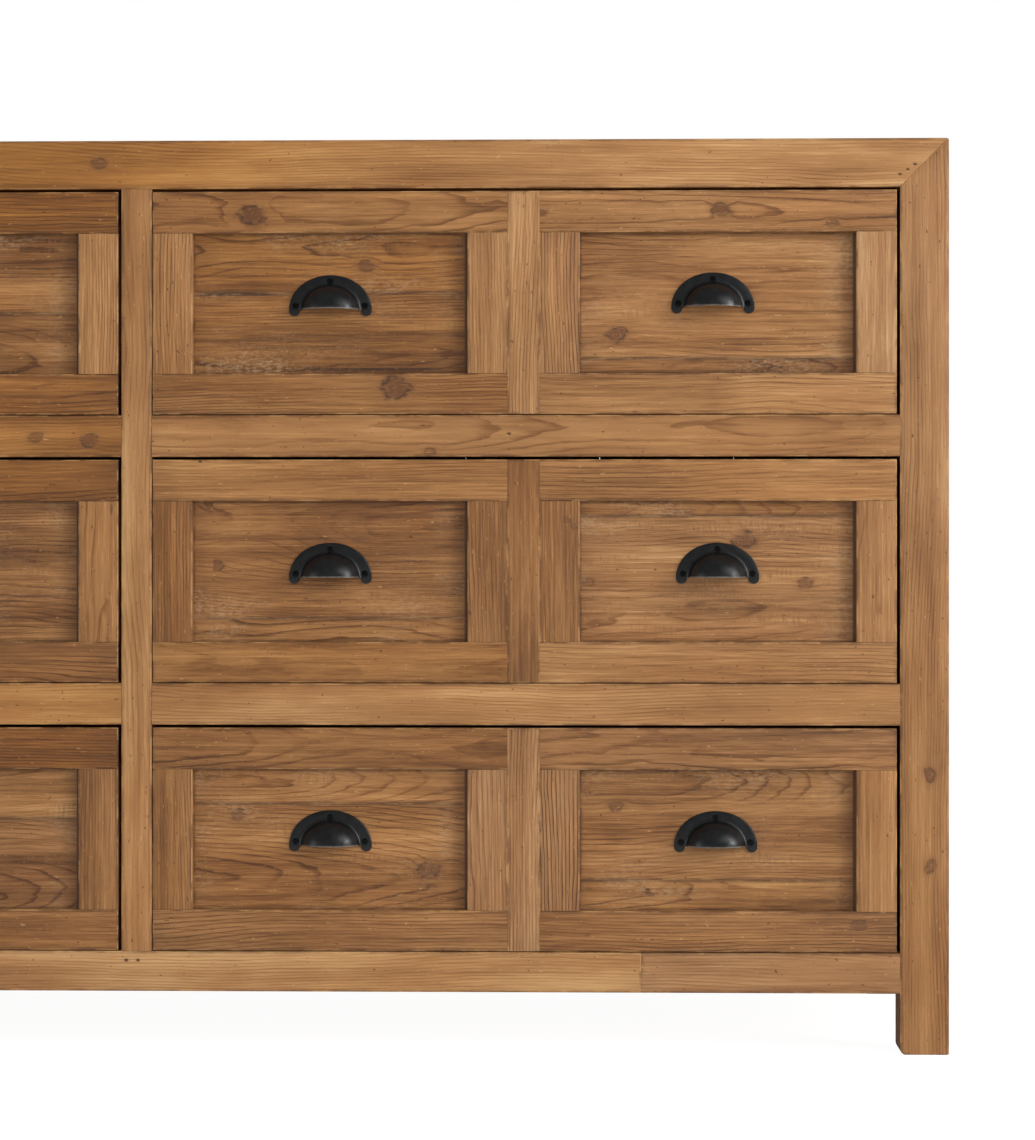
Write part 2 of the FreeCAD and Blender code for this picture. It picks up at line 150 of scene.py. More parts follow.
# %% [markdown]
# These helpers mix colours, read what is stored on a mesh, raise small bumps and begin a material. Colours
# are written as they are seen on a screen, because they were picked from the photograph.

# %% Nodes for colours and surfaces


def blended(tree, share, first, second, mode="MIX"):
    """Two colours mixed; share 0 gives the first one."""
    node = tree.nodes.new("ShaderNodeMix")
    node.data_type = "RGBA"
    node.blend_type = mode
    for name, value in (("Factor_Float", share), ("A_Color", first), ("B_Color", second)):
        socket = next(s for s in node.inputs if s.identifier == name)
        join_up(tree, socket, value)
    return next(s for s in node.outputs if s.identifier == "Result_Color")


def ramp(tree, value, stops):
    """A colour ramp; each stop is a place from 0 to 1 and a colour."""
    node = tree.nodes.new("ShaderNodeValToRGB")
    points = node.color_ramp.elements
    while len(points) < len(stops):
        points.new(0.5)
    for point, (place, colour) in zip(points, stops):
        point.position = place
        point.color = colour
    tree.links.new(value, node.inputs["Fac"])
    return node.outputs["Color"]


def read(tree, name):
    """A value that was stored on the mesh, such as a board's grain."""
    node = tree.nodes.new("ShaderNodeAttribute")
    node.attribute_name = name
    return node.outputs["Vector"]


def parts_of(tree, vector):
    node = tree.nodes.new("ShaderNodeSeparateXYZ")
    tree.links.new(vector, node.inputs[0])
    return node.outputs


def add_relief(tree, shader, height, strength, distance):
    """Small bumps in the surface, from a pattern that says how high each point is."""
    bump = tree.nodes.new("ShaderNodeBump")
    bump.inputs["Strength"].default_value = strength
    bump.inputs["Distance"].default_value = distance
    tree.links.new(height, bump.inputs["Height"])
    tree.links.new(bump.outputs["Normal"], shader.inputs["Normal"])


def paint(red, green, blue):
    """A colour as it is seen on a screen, 0 to 255, turned into Blender's linear values."""
    def linear(c):
        c = c / 255
        return c / 12.92 if c <= 0.04045 else ((c + 0.055) / 1.055) ** 2.4
    return (linear(red), linear(green), linear(blue), 1.0)


def new_material(name):
    material = bpy.data.materials.new(name)
    material.use_nodes = True
    return material, material.node_tree, material.node_tree.nodes["Principled BSDF"]


print("mid pine tone in linear values:", [round(c, 3) for c in paint(168, 121, 80)])

# %% [markdown]
# Wood and wear are sums of simple patterns. A noise lies between 0 and 1, so it is either swung about zero
# and added, or cut down by remap to the few places where it shows. These helpers name such steps.

# %% Helpers for patterns


def total(tree, *values):
    """The sum of any number of values."""
    result = values[0]
    for value in values[1:]:
        result = calc(tree, "ADD", result, value)
    return result


def product(tree, *values):
    result = values[0]
    for value in values[1:]:
        result = calc(tree, "MULTIPLY", result, value)
    return result


def largest(tree, first, *others):
    return calc(tree, "MAXIMUM", first, largest(tree, *others)) if others else first


def swing(tree, pattern, share):
    """A pattern from 0 to 1 turned into a push up or down, by a share at most."""
    return product(tree, calc(tree, "SUBTRACT", pattern, 0.5), 2.0 * share)


def fading(tree, value, start, end, strength=1.0):
    """Full strength where the value is below start, and nothing where it is above end."""
    return remap(tree, value, start, end, strength, 0.0)


def far_from_axis(tree, first, second):
    return calc(tree, "SQRT", total(tree, calc(tree, "POWER", first, 2.0), calc(tree, "POWER", second, 2.0)))


def drawn_out(tree, log, along, across, detail=2.0, roughness=0.5):
    """Noise with so many spots to a metre along the grain, and so many across it."""
    return noise(tree, stretched(tree, log, (along, across, across)), 1.0, detail, roughness)


print("helpers for sums, fades and noises are ready")

# %% [markdown]
# A picture of wood could be laid on each face, but its lines would break at every edge. So the finish works
# in the log: each board stores where it lay, with x along the trunk and the pith at y = z = 0, and all its
# faces cut through the same rings and fibres. It also stores its look, its nearest knot and crack, and how
# far its face shows. Here a finish reads all that, and makes the noises that several of its steps share.

# %% Read what a board has stored
fibres_along, fibres_across = 3.4, 115          # to a metre


def stored_grain(tree):
    board = SimpleNamespace(log=read(tree, "log"), tint=read(tree, "tint"))
    board.axes = parts_of(tree, board.log)
    board.tone = parts_of(tree, read(tree, "tone"))        # lightness step with any painted shade, strength of rings, 1 on a post's inner face
    board.knot = parts_of(tree, read(tree, "knot"))        # along and across from its middle, and its radius
    board.crack = parts_of(tree, read(tree, "crack"))      # along it from -1 to 1, across it, its half width
    board.place = parts_of(tree, read(tree, "place"))      # along and across from the middle of the face
    board.reach = parts_of(tree, read(tree, "reach"))      # half the length and half the width that show
    board.ripple = drawn_out(tree, board.log, 13, 60, 3.0)
    board.fibre = drawn_out(tree, board.log, fibres_along, fibres_across, 6.0, 0.74)
    board.grain = drawn_out(tree, board.log, 7, 330, 2.0, 0.6)
    board.blotch = drawn_out(tree, board.log, 5, 19, 3.0, 0.6)
    return board


print("a fibre is", round(fibres_across / fibres_along), "times as long as it is wide")

# %% [markdown]
# Pine shows rings: pale wood that grew in spring and a thin darker line from summer. On a sawn board they
# are cut at a slant, and give straight lines near the log's edge and arches near its middle. A wave texture
# would draw even bands. Here the distance from the pith, bent a little by noise, gives each ring a dark line
# that fades in and out along the board, and a knot pushes the rings aside.

# %% Rings
ring_width = 0.0032
length_share = 0.72             # distances along the grain count less, so knots are longer that way


def find_knot(tree, board):
    """Adds the distance from the nearest knot, in its radii, and how strongly a knot of its size shows."""
    from_knot = far_from_axis(tree, product(tree, board.knot[0], length_share), board.knot[1])
    outline = drawn_out(tree, board.log, 60, 120)
    board.in_radii = total(tree, calc(tree, "DIVIDE", from_knot, board.knot[2]), swing(tree, outline, 0.85))
    board.knot_strength = remap(tree, board.knot[2], 0.0020, 0.0070, 0.45, 1.0)


def rings_of(tree, board, bend, thin):
    """How dark each point is by its place in its ring, from 0 to 1."""
    near_knot = fading(tree, board.in_radii, 0.4, 3.0)
    sweep = drawn_out(tree, board.log, 2.4, 8, 1.0)
    radius = total(tree, far_from_axis(tree, board.axes[1], board.axes[2]),
                   product(tree, board.axes[0], 0.8 * bend), swing(tree, sweep, bend),
                   swing(tree, board.ripple, 0.0026), product(tree, near_knot, board.knot[2], 0.42))
    in_ring = calc(tree, "FRACT", calc(tree, "DIVIDE", radius, ring_width))
    rise = calc(tree, "POWER", remap(tree, in_ring, 0.25, 0.92), thin)
    here_and_there = remap(tree, drawn_out(tree, board.log, 3.5, 34), 0.34, 0.66, 0.15, 1.0)
    return product(tree, rise, fading(tree, in_ring, 0.93, 1.0), here_and_there)


print("rings are", ring_width * 1000, "mm wide")

# %% [markdown]
# One value, from dark to light, holds all that makes the wood darker or lighter: the board's own step, its
# rings, long fibres, fine hairs and broad blotches. A ramp turns it into four tones that were matched to the
# photograph. Mixing a colour for each pattern would soon turn muddy, so only the warmth is mixed in later.

# %% Colour of the wood
darkest, dark = paint(86, 52, 24), paint(128, 86, 47)
middle, light = paint(167, 120, 73), paint(202, 159, 107)
wood_tones = [(0.0, darkest), (0.33, dark), (0.66, middle), (1.0, light)]
warm_wax = (1.0, 0.84, 0.70, 1.0)


def wood_colour(tree, board, level, rings, streaks, fine, blotches):
    hair = drawn_out(tree, board.log, 34, 800, 3.0, 0.65)
    band = drawn_out(tree, board.log, 1.6, 48, 1.0)
    value = total(tree, board.tone[0], level, product(tree, board.ring, board.tone[1], -rings),
                  swing(tree, board.fibre, streaks), swing(tree, board.grain, 1.1 * fine),
                  swing(tree, hair, 1.3 * fine), swing(tree, board.blotch, blotches),
                  swing(tree, band, 0.6 * blotches))
    colour = ramp(tree, value, wood_tones)
    warmth = remap(tree, drawn_out(tree, board.log, 4, 17), 0.35, 0.7, 0.0, 0.30)
    colour = blended(tree, warmth, colour, blended(tree, 1.0, colour, warm_wax, "MULTIPLY"))
    return blended(tree, 1.0, colour, board.tint, "MULTIPLY")


print(len(wood_tones), "wood tones")

# %% [markdown]
# A knot is a branch cut across: a brown heart with rings of its own, a dark and partly worn rim, and a halo
# of darker wood. It could be a small disc let into the board, but a real one has grown into the grain, so it
# is drawn from the distance to its middle.

# %% Knots
knot_brown, knot_edge = paint(94, 58, 34), paint(62, 40, 26)


def with_knots(tree, board, colour):
    in_radii, strength = board.in_radii, board.knot_strength
    on_knot = product(tree, remap(tree, in_radii, 0.5, 1.4), strength)
    on_knot = calc(tree, "SUBTRACT", strength, on_knot)
    worn = remap(tree, drawn_out(tree, board.log, 150, 260, 3.0), 0.32, 0.62)
    board.knot_rim = product(tree, remap(tree, in_radii, 0.6, 1.0), fading(tree, in_radii, 1.0, 1.5, 0.8),
                             strength, worn)
    own_rings = calc(tree, "SINE", product(tree, in_radii, 17.0))
    heart = blended(tree, remap(tree, own_rings, -1.0, 1.0, 0.10, 0.45), knot_brown, colour)
    colour = blended(tree, product(tree, fading(tree, in_radii, 0.8, 2.6, 0.55), strength), colour, dark)
    colour = blended(tree, on_knot, colour, heart)
    return blended(tree, board.knot_rim, colour, knot_edge)


print("knots have a heart, a rim and a halo")

# %% [markdown]
# The boards had a life before this chest, and keep old nail holes, a crack or two, dark specks and pale
# chips. A nail hole is stored as a very small knot and is dark all over. A crack is a line of a given length
# and width that wanders a little. Holes and slits in the mesh would cost many faces and show no better.

# %% Small marks in the wood
nail_radius, knot_radius = 0.0018, 0.0024       # up to the first it is a nail hole, past the second a knot


def with_small_marks(tree, board, colour):
    nail = product(tree, fading(tree, board.knot[2], nail_radius, knot_radius, 0.85),
                   fading(tree, board.in_radii, 0.7, 1.3))
    from_crack = calc(tree, "ABSOLUTE", total(tree, board.crack[1], swing(tree, board.ripple, 0.0012)))
    crack = product(tree, fading(tree, calc(tree, "ABSOLUTE", board.crack[0]), 0.6, 1.0, 0.9),
                    fading(tree, calc(tree, "DIVIDE", from_crack, board.crack[2]), 0.5, 1.3))
    colour = blended(tree, largest(tree, nail, crack), colour, knot_edge)
    board.speck = drawn_out(tree, board.log, 180, 330, 1.0)
    colour = blended(tree, remap(tree, board.speck, 0.72, 0.79, 0.0, 0.8), colour, darkest)
    board.chip = drawn_out(tree, board.log, 130, 420)
    return blended(tree, remap(tree, board.chip, 0.68, 0.78, 0.0, 0.55), colour, light)


print("a mark of less than", nail_radius * 1000, "mm radius is a nail hole")

# %% [markdown]
# Hands rub the wax off an edge, and dirt stays beside it and soaks into the ends. Blender can look for edges
# while it renders, but that is slow, and misses a tight joint between two boards. Each board knows how far
# its face shows, so the distance to the nearest edge is worked out from that.

# %% Worn edges
# the brown of grime at worn edges, and of the painted shadow in the panels' recesses
grime_and_shadow = paint(74, 48, 29)
bare_width, grimy_width, stain_length = 0.0018, 0.0045, 0.035


def with_worn_edges(tree, board, colour, grimy):
    along = calc(tree, "SUBTRACT", board.reach[0], calc(tree, "ABSOLUTE", board.place[0]))
    across = calc(tree, "SUBTRACT", board.reach[1], calc(tree, "ABSOLUTE", board.place[1]))
    board.from_edge = calc(tree, "MINIMUM", along, across)
    rubbed = remap(tree, drawn_out(tree, board.log, 30, 70, 4.0, 0.65), 0.36, 0.64)
    rim = product(tree, fading(tree, board.from_edge, 0.0, grimy_width), rubbed, grimy)
    stain = product(tree, fading(tree, along, 0.0, stain_length), remap(tree, board.blotch, 0.45, 0.65),
                    0.35 * grimy)
    bare = product(tree, fading(tree, board.from_edge, 0.0, bare_width),
                   fading(tree, rubbed, 0.1, 0.6, 0.55))
    colour = blended(tree, bare, colour, light)
    return blended(tree, largest(tree, rim, stain), colour, grime_and_shadow)


print("bare wood within", bare_width * 1000, "mm of an edge, grime within", grimy_width * 1000, "mm")

# %% [markdown]
# The drawer panels lie in a recess, where no cloth reaches well. They have a dusty haze, torn fibres that
# were never sanded out, and a rough sanded band a little in from the right edge. Along the frame they get a
# thin line of painted shade that also stands for dirt, and on the right a darker line and a soft painted
# shadow of the recess's right wall. The haze could be one even layer, but on real wood it stays in patches.

# %% Wear and painted shade of the recessed panels
dust = paint(190, 162, 128)
# painted shade of the recess: a thin dark line along its edges, which also stands for dirt, and a dark line
# at the right edge, where the right wall would cast its shadow
edge_shade_and_dirt, right_shadow_line = (0.0003, 0.0028, 0.5), (0.0019, 0.0048, 0.95)     # full to, gone at, strength
# a wide soft painted shadow of the recess's right wall
right_shade = (0.0, 0.018, 0.38)
sanded_from, sanded_full, sanded_to = 0.008, 0.020, 0.045


def with_dust_and_shade(tree, board, colour, dusty):
    scuff = drawn_out(tree, board.log, 170, 430, 4.0, 0.7)
    patch = remap(tree, drawn_out(tree, board.log, 8, 20, 3.0), 0.46, 0.70)
    near_frame = remap(tree, board.from_edge, 0.0, 0.030, 1.0, 0.25)
    haze = product(tree, remap(tree, scuff, 0.44, 0.62), patch, near_frame, dusty)
    from_right = calc(tree, "SUBTRACT", board.reach[0], board.place[0])
    sanded = product(tree, remap(tree, from_right, sanded_from, sanded_full),
                     fading(tree, from_right, sanded_full, sanded_to), remap(tree, scuff, 0.36, 0.66),
                     remap(tree, board.blotch, 0.36, 0.62), 0.45 * dusty)
    colour = blended(tree, largest(tree, haze, sanded), colour, dust)
    torn = remap(tree, drawn_out(tree, board.log, 420, 90, 3.0, 0.6), 0.48, 0.62)
    where_torn = remap(tree, drawn_out(tree, board.log, 9, 42, 1.0), 0.56, 0.68)
    colour = blended(tree, product(tree, torn, where_torn, 0.5), colour, dark)
    # painted shade and shadow of the recess, mixed in the brown of grime
    recess_shade = largest(tree, fading(tree, board.from_edge, *edge_shade_and_dirt), fading(tree, from_right, *right_shadow_line),
                   fading(tree, from_right, *right_shade))
    return blended(tree, recess_shade, colour, grime_and_shadow)


print("sanded band from", sanded_from * 1000, "to", sanded_to * 1000, "mm off the right edge")

# %% [markdown]
# With these steps a pine finish is made. All the woods could share one, but the drawer fronts are strongly
# figured, the panels dark and dusty, and the boxes inside pale and clean. So each kind of part has a finish
# of its own, which changes only the numbers that set it apart.

# %% Wood finishes
wood_sheen, unwaxed_roughness = 0.35, 0.35
relief_strength, relief_height = 0.6, 0.0008


def pine(name, level, rings=0.30, thin=3.4, streaks=0.30, fine=0.20, blotches=0.24, bend=0.016, dusty=0.0,
         grimy=0.55, roughness=0.55):
    """Level is the overall lightness, from 0 to 1. The other shares say how strong each feature is, and a
    higher value of thin makes the dark part of each ring narrower."""
    material, tree, shader = new_material(name)
    board = stored_grain(tree)
    find_knot(tree, board)
    board.ring = rings_of(tree, board, bend, thin)
    colour = wood_colour(tree, board, level, rings, streaks, fine, blotches)
    colour = with_knots(tree, board, colour)
    colour = with_small_marks(tree, board, colour)
    colour = with_worn_edges(tree, board, colour, grimy)
    if dusty:
        colour = with_dust_and_shade(tree, board, colour, dusty)
    tree.links.new(colour, shader.inputs["Base Color"])
    rough = total(tree, roughness, swing(tree, board.fibre, 0.2),
                  product(tree, board.tone[2], unwaxed_roughness))
    tree.links.new(rough, shader.inputs["Roughness"])
    shader.inputs["Specular IOR Level"].default_value = wood_sheen
    heights = ((board.fibre, 0.8), (board.grain, 0.3), (board.ring, 0.25), (board.chip, 0.5),
               (board.speck, 0.2), (board.knot_rim, -0.4))
    height = total(tree, *[product(tree, pattern, share) for pattern, share in heights])
    add_relief(tree, shader, height, relief_strength, relief_height)
    return material


pine_recipes = {
    "frame_pine": dict(level=0.66, rings=0.26, streaks=0.28, fine=0.15, blotches=0.42),
    "top_pine": dict(level=0.64, streaks=0.34),
    "side_pine": dict(level=0.62, streaks=0.34),
    "front_pine": dict(level=0.61, rings=0.42, thin=6.0, streaks=0.31, fine=0.25, blotches=0.28),
    "panel_pine": dict(level=0.47, rings=0.55, thin=8.0, streaks=0.28, fine=0.30, blotches=0.44, bend=0.030,
                       dusty=0.5, grimy=0.5),
    "inner_pine": dict(level=0.88, rings=0.18, streaks=0.15, fine=0.08, blotches=0.12, grimy=0.15,
                       roughness=0.7),
    "back_pine": dict(level=0.60, roughness=0.7),
    "bottom_ply": dict(level=0.92, rings=0.18, streaks=0.12, fine=0.06, blotches=0.12, grimy=0.1,
                       roughness=0.7),
}
finishes = {name: pine(name, **recipe) for name, recipe in pine_recipes.items()}
print("wood finishes:", ", ".join(finishes))

# %% [markdown]
# The boards come from the solids. A solid's mesh is loose triangles, and boards that touch would be welded
# into one if everything was merged. A closed solid has no open edge, so the triangles are walked in order,
# and a board is complete each time no edge is left open. Each board is then merged by itself.

# %% Find the boards of a node
on_plane = 0.0001               # a corner this near to a plane lies in it


def boards_of(mesh):
    """Lists of triangle numbers, one list for each closed solid of a node."""
    points = [tuple(round(c, 6) for c in vertex.co) for vertex in mesh.vertices]
    boards, board, open_edges = [], [], set()
    for triangle in mesh.polygons:
        corners = [points[i] for i in triangle.vertices]
        for pair in zip(corners, corners[1:] + corners[:1]):
            open_edges ^= {frozenset(pair)}
        board.append(triangle.index)
        if not open_edges:
            boards.append(board)
            board = []
    return boards


def corners_of(mesh, board):
    return [mesh.vertices[i].co for triangle in board for i in mesh.polygons[triangle].vertices]


def limits(points):
    return (Vector([min(p[i] for p in points) for i in range(3)]),
            Vector([max(p[i] for p in points) for i in range(3)]))


slot_of = {entry["node"]: entry["material_slot"] for entry in frame["record"]["subparts"]}
body_of = {node: body for body, nodes in frame["record"]["behaviour"]["bodies"].items() for node in nodes}
wooden = [node for node, slot_name in slot_of.items() if slot_name in finishes]
front_faces = []
for node in wooden:
    mesh = frame["nodes"][node].data
    for board in boards_of(mesh):
        on_front = [corner for corner in corners_of(mesh, board) if abs(corner.y - front_y) < on_plane]
        if on_front:
            front_faces.append(limits(on_front))
print(len(wooden), "wooden nodes,", len(front_faces), "boards reach the front plane")

# %% [markdown]
# Years of use round an edge that hands can reach, and leave a tight joint as a hairline. One bevel on all
# edges would either open the joints or leave the free edges sharp. So an edge in the front plane gets a wide
# bevel where it is free, beside a gap or a recess, and a very fine one where another board meets it.

# %% Ease the edges of a board
hairline, worn_edge = 0.00025, 0.0011
foot_edge, kicked_foot_edge = 0.0015, 0.0060
kicked_foot_x = 0.755           # the feet's inner edges lie closer to the middle than this
reach_of_joint = 0.0002
least_turn = math.radians(40)   # an edge that turns by less than this isn't eased


def is_joint(point):
    """True where two or more front faces meet at a point of the front plane."""
    meeting = [1 for low, high in front_faces
               if low.x - reach_of_joint < point.x < high.x + reach_of_joint
               and low.z - reach_of_joint < point.z < high.z + reach_of_joint]
    return len(meeting) > 1


def kind_of_edge(edge):
    """Where an edge lies: a foot's inner edge, another one on the floor, free in the front, or elsewhere."""
    middle_point = (edge.verts[0].co + edge.verts[1].co) / 2
    if all(v.co.z < on_plane for v in edge.verts):
        return "kicked foot" if abs(middle_point.x) < kicked_foot_x else "foot"
    in_front = all(abs(v.co.y - front_y) < on_plane for v in edge.verts)
    return "free" if in_front and not is_joint(middle_point) else "elsewhere"


def ease_edges(bm, inner_edge):
    """Bevels the sharp edges of one board, kind by kind, since each bevel makes the edges beside it anew."""
    for kind, size, segments in (("kicked foot", kicked_foot_edge, 5), ("foot", foot_edge, 2),
                                 ("free", worn_edge, 3), ("elsewhere", inner_edge, 1)):
        group = [e for e in bm.edges if len(e.link_faces) == 2 and e.calc_face_angle() > least_turn
                 and kind_of_edge(e) == kind]
        if group:
            bmesh.ops.bevel(bm, geom=group, offset=size, offset_type="OFFSET", segments=segments,
                            profile=0.5, affect="EDGES", clamp_overlap=True, material=-1)


print("free edges", worn_edge * 1000, "mm, joints", hairline * 1000, "mm")

# %% [markdown]
# Each board remembers how it was cut. Its longest side runs along the trunk. The pith is put at some
# distance under the face, so that no two boards show the same rings. Random numbers could choose these
# places, but golden-ratio steps spread them more evenly, and give the same chest each time.

# %% Place of a board in its log
golden = 0.61803


def spread(number, step, low, high):
    """A value between two limits that jumps about from one number to the next."""
    return low + (high - low) * ((number * golden * step + 0.37 * step) % 1.0)


def grain_axes(low, high):
    """Axis numbers of a board: along its grain, across it, and through its thickness, y if it's square."""
    size = high - low
    return sorted(range(3), key=lambda axis: (-round(size[axis], 3), axis == 1))


def place_in_log(number, width, flat_sawn):
    """A board's start along the trunk, and how far across and below its middle the pith lies."""
    side = 1.0 if number % 2 else -1.0
    across = side * spread(number, 3, *((0.0, 0.35) if flat_sawn else (0.6, 2.2))) * width
    below = spread(number, 7, 0.030, 0.090) if flat_sawn else spread(number, 7, 0.010, 0.060)
    return spread(number, 11, -3.0, 3.0), across, below


print("first boards lie", [round(spread(n, 7, 0.030, 0.090), 3) for n in range(4)], "m from their pith")

# %% [markdown]
# Noise would scatter the knots anywhere, so those of the front are listed one by one, as the photograph has
# them.
# Each knot or nail hole is given by its place in the front plane, x to the right and z up, and its radius.
# Each board is named by a point on it, with a step up or down in lightness, the strength of its rings, and
# its warmth, from -1 for a cool brown to 1 for an orange one. Three long boards change from one point to the
# next. The last list holds the cracks of one panel: start, end, height and half the width of each.

# %% Knots, boards and cracks of the front
front_knots = [
    (0.1145, 0.8260, 0.0085), (0.2538, 0.6551, 0.0095), (0.2261, 0.7764, 0.0050), (0.4734, 0.7078, 0.0065),
    (0.5765, 0.8304, 0.0055), (0.0769, 0.4797, 0.0050), (0.0729, 0.5429, 0.0045), (0.6000, 0.5043, 0.0070),
    (0.6608, 0.4630, 0.0050), (0.4468, 0.4640, 0.0035), (0.1006, 0.2340, 0.0050), (0.2883, 0.1803, 0.0075),
    (0.4734, 0.2437, 0.0045), (0.2912, 0.5910, 0.0040), (-0.1006, 0.6072, 0.0045), (-0.0470, 0.6042, 0.0055),
    (-0.0381, 0.8778, 0.0050), (0.7812, 0.2747, 0.0050), (0.7812, 0.1845, 0.0045), (0.5440, 0.5300, 0.0040),
    (0.7107, 0.1274, 0.0045), (0.4260, 0.5240, 0.0040), (0.6850, 0.8170, 0.0035), (0.4320, 0.5200, 0.0030),
    (0.7665, 0.8740, 0.0012), (0.7596, 0.8691, 0.0010), (0.7518, 0.8642, 0.0011), (-0.0103, 0.0906, 0.0011),
    (0.0016, 0.0906, 0.0011), (0.0630, 0.5830, 0.0011), (0.3680, 0.6100, 0.0013),
]
front_boards = [
    # posts, rails and centre stile
    (-0.09, 0.875, -0.18, 1.0, 1.2), (0.40, 0.875, 0.08, 1.0, 0.0), (0.78, 0.700, -0.05, 1.0, -0.5),
    (0.78, 0.200, -0.13, 1.0, 0.0), (0.00, 0.500, 0.01, 1.0, 0.0), (-0.09, 0.080, 0.10, 1.0, -0.1),
    (0.20, 0.080, 0.15, 1.0, 0.0), (0.65, 0.080, 0.02, 1.0, -0.5),
    (-0.10, 0.608, -0.26, 1.0, 0.8), (0.20, 0.608, -0.08, 1.0, 0.0),
    (-0.10, 0.343, -0.07, 1.0, 0.5), (0.20, 0.343, -0.01, 1.0, 0.0),
    # top right drawer
    (0.20, 0.835, -0.17, 1.0, 0.2), (0.50, 0.835, -0.07, 1.0, 0.0), (0.20, 0.648, -0.18, 1.0, 0.2),
    (0.60, 0.648, 0.10, 0.8, 0.0), (0.03, 0.740, 0.01, 1.4, 0.0), (0.345, 0.740, -0.02, 0.8, -0.2),
    (0.38, 0.740, 0.14, 1.0, -0.2), (0.415, 0.740, -0.09, 1.9, -0.2), (0.73, 0.740, 0.07, 0.3, -0.5),
    (0.20, 0.790, -0.06, 0.7, 0.8), (0.20, 0.700, -0.12, 0.7, 0.5), (0.57, 0.740, -0.01, 0.6, 0.0),
    (0.57, 0.668, -0.12, 0.6, 0.0),
    # middle right drawer
    (0.20, 0.565, -0.08, 0.8, 0.2), (0.50, 0.565, -0.12, 0.8, 0.1), (0.20, 0.380, -0.12, 0.4, 0.4),
    (0.60, 0.380, 0.04, 0.8, 0.0), (0.03, 0.480, -0.28, 1.0, 0.3), (0.345, 0.480, -0.17, 1.0, 0.0),
    (0.38, 0.480, -0.25, 0.2, 0.0), (0.415, 0.480, -0.21, 1.5, 0.1), (0.73, 0.480, -0.05, 0.5, -0.2),
    (0.20, 0.480, -0.07, 0.8, 0.1), (0.20, 0.412, 0.00, 0.8, 0.2), (0.57, 0.480, 0.05, 0.6, -0.2),
    (0.57, 0.548, 0.04, 0.45, 0.2),
    # bottom right drawer
    (0.20, 0.300, -0.21, 1.0, 0.1), (0.60, 0.300, -0.20, 1.0, -0.2), (0.20, 0.120, -0.13, 1.0, -0.1),
    (0.60, 0.120, -0.20, 1.0, 0.0), (0.03, 0.210, -0.15, 0.7, 0.2), (0.345, 0.210, 0.00, 0.9, -0.5),
    (0.38, 0.210, 0.05, 1.0, -0.5), (0.415, 0.210, -0.08, 2.9, -0.4), (0.73, 0.210, 0.03, 0.3, 0.0),
    (0.20, 0.210, 0.00, 0.8, 0.2), (0.20, 0.270, 0.09, 0.8, 0.1), (0.57, 0.210, 0.03, 0.55, 0.0),
    (0.57, 0.156, -0.01, 0.8, 0.2),
    # the three left drawers, from the top down, as far as they show
    (-0.10, 0.835, -0.32, 1.0, 1.4), (-0.10, 0.648, -0.31, 1.0, 0.9), (-0.10, 0.740, -0.15, 1.0, 0.3),
    (-0.09, 0.700, -0.11, 1.0, 0.2), (-0.0375, 0.740, 0.08, 1.0, 0.0),
    (-0.10, 0.565, -0.39, 1.0, 1.0), (-0.10, 0.380, -0.31, 1.0, 0.3), (-0.10, 0.480, -0.02, 1.0, 0.0),
    (-0.0375, 0.480, -0.03, 1.0, 0.1),
    (-0.10, 0.300, -0.49, 1.0, 1.0), (-0.10, 0.120, -0.21, 1.0, 0.2), (-0.10, 0.210, -0.06, 0.7, -0.3),
    (-0.09, 0.268, 0.14, 1.0, 0.1), (-0.0375, 0.210, -0.18, 1.0, 0.0),
]
front_cracks = [(0.050, 0.146, 0.7490, 0.0017), (0.152, 0.318, 0.6745, 0.0014)]
print(len(front_knots), "knots and nail holes,", len(front_boards), "points on the front's boards,",
      len(front_cracks), "cracks")

# %% [markdown]
# Boards that don't show in the photograph get an even look and up to two knots, by the same golden-ratio
# steps. A board that shows takes its knots and its look from the lists.

# %% Knots and look of one board
front_layer = 0.012             # a board that begins this near to the front plane belongs to the front
shown_from_x = -0.15            # the photograph shows the front from here to its right end
plain_look = (0.0, 0.0, 0.0, 1.0, 0.0)


def marks_of(faces, number):
    """The knots of one board, and the points that say how it looks."""
    low, high = limits([v.co for f in faces for v in f.verts])
    along, across = grain_axes(low, high)[:2]

    def given(marks):
        return [mark for mark in marks if low.x < mark[0] < high.x and low.z < mark[1] < high.z]

    if low.y < front_y + front_layer and high.x > shown_from_x:
        knots = [(Vector((x, low.y, z)), radius) for x, z, radius in given(front_knots)]
        return knots, given(front_boards) or [plain_look]
    knots = []
    for k in range(int(spread(number, 13, 0.0, 3.0))):
        place = (low + high) / 2
        place[along] = low[along] + (high[along] - low[along]) * spread(number + 7 * k, 17, 0.08, 0.92)
        place[across] = low[across] + (high[across] - low[across]) * spread(number + 7 * k, 19, 0.2, 0.8)
        knots.append((place, spread(number + k, 23, 0.0035, 0.0090)))
    return knots, [(0.0, 0.0, spread(number, 5, -0.08, 0.06), spread(number, 29, 0.5, 1.5),
                    spread(number, 31, -0.2, 0.4))]


def look_at(marks, axis, place):
    """Lightness step, strength of rings and warmth of a board, which change evenly between its marks."""
    points = sorted((mark[0 if axis == 0 else 1], mark[2:]) for mark in marks)
    for (start, first), (end, second) in zip(points, points[1:]):
        if start < place < end:
            share = (place - start) / (end - start)
            return [a + (b - a) * share for a, b in zip(first, second)]
    return points[0][1] if place <= points[0][0] else points[-1][1]


print("halfway along the top rail:", [round(part, 3) for part in look_at(front_boards[:2], 0, 0.155)])

# %% [markdown]
# The finish can only read what its own point of the mesh holds, so everything it needs is written to the
# corners of each face: the point's place in the log, on its face, and by the nearest knot and crack. Corners
# of two faces can lie at one point and yet hold different values, which is why corners are used, not points.

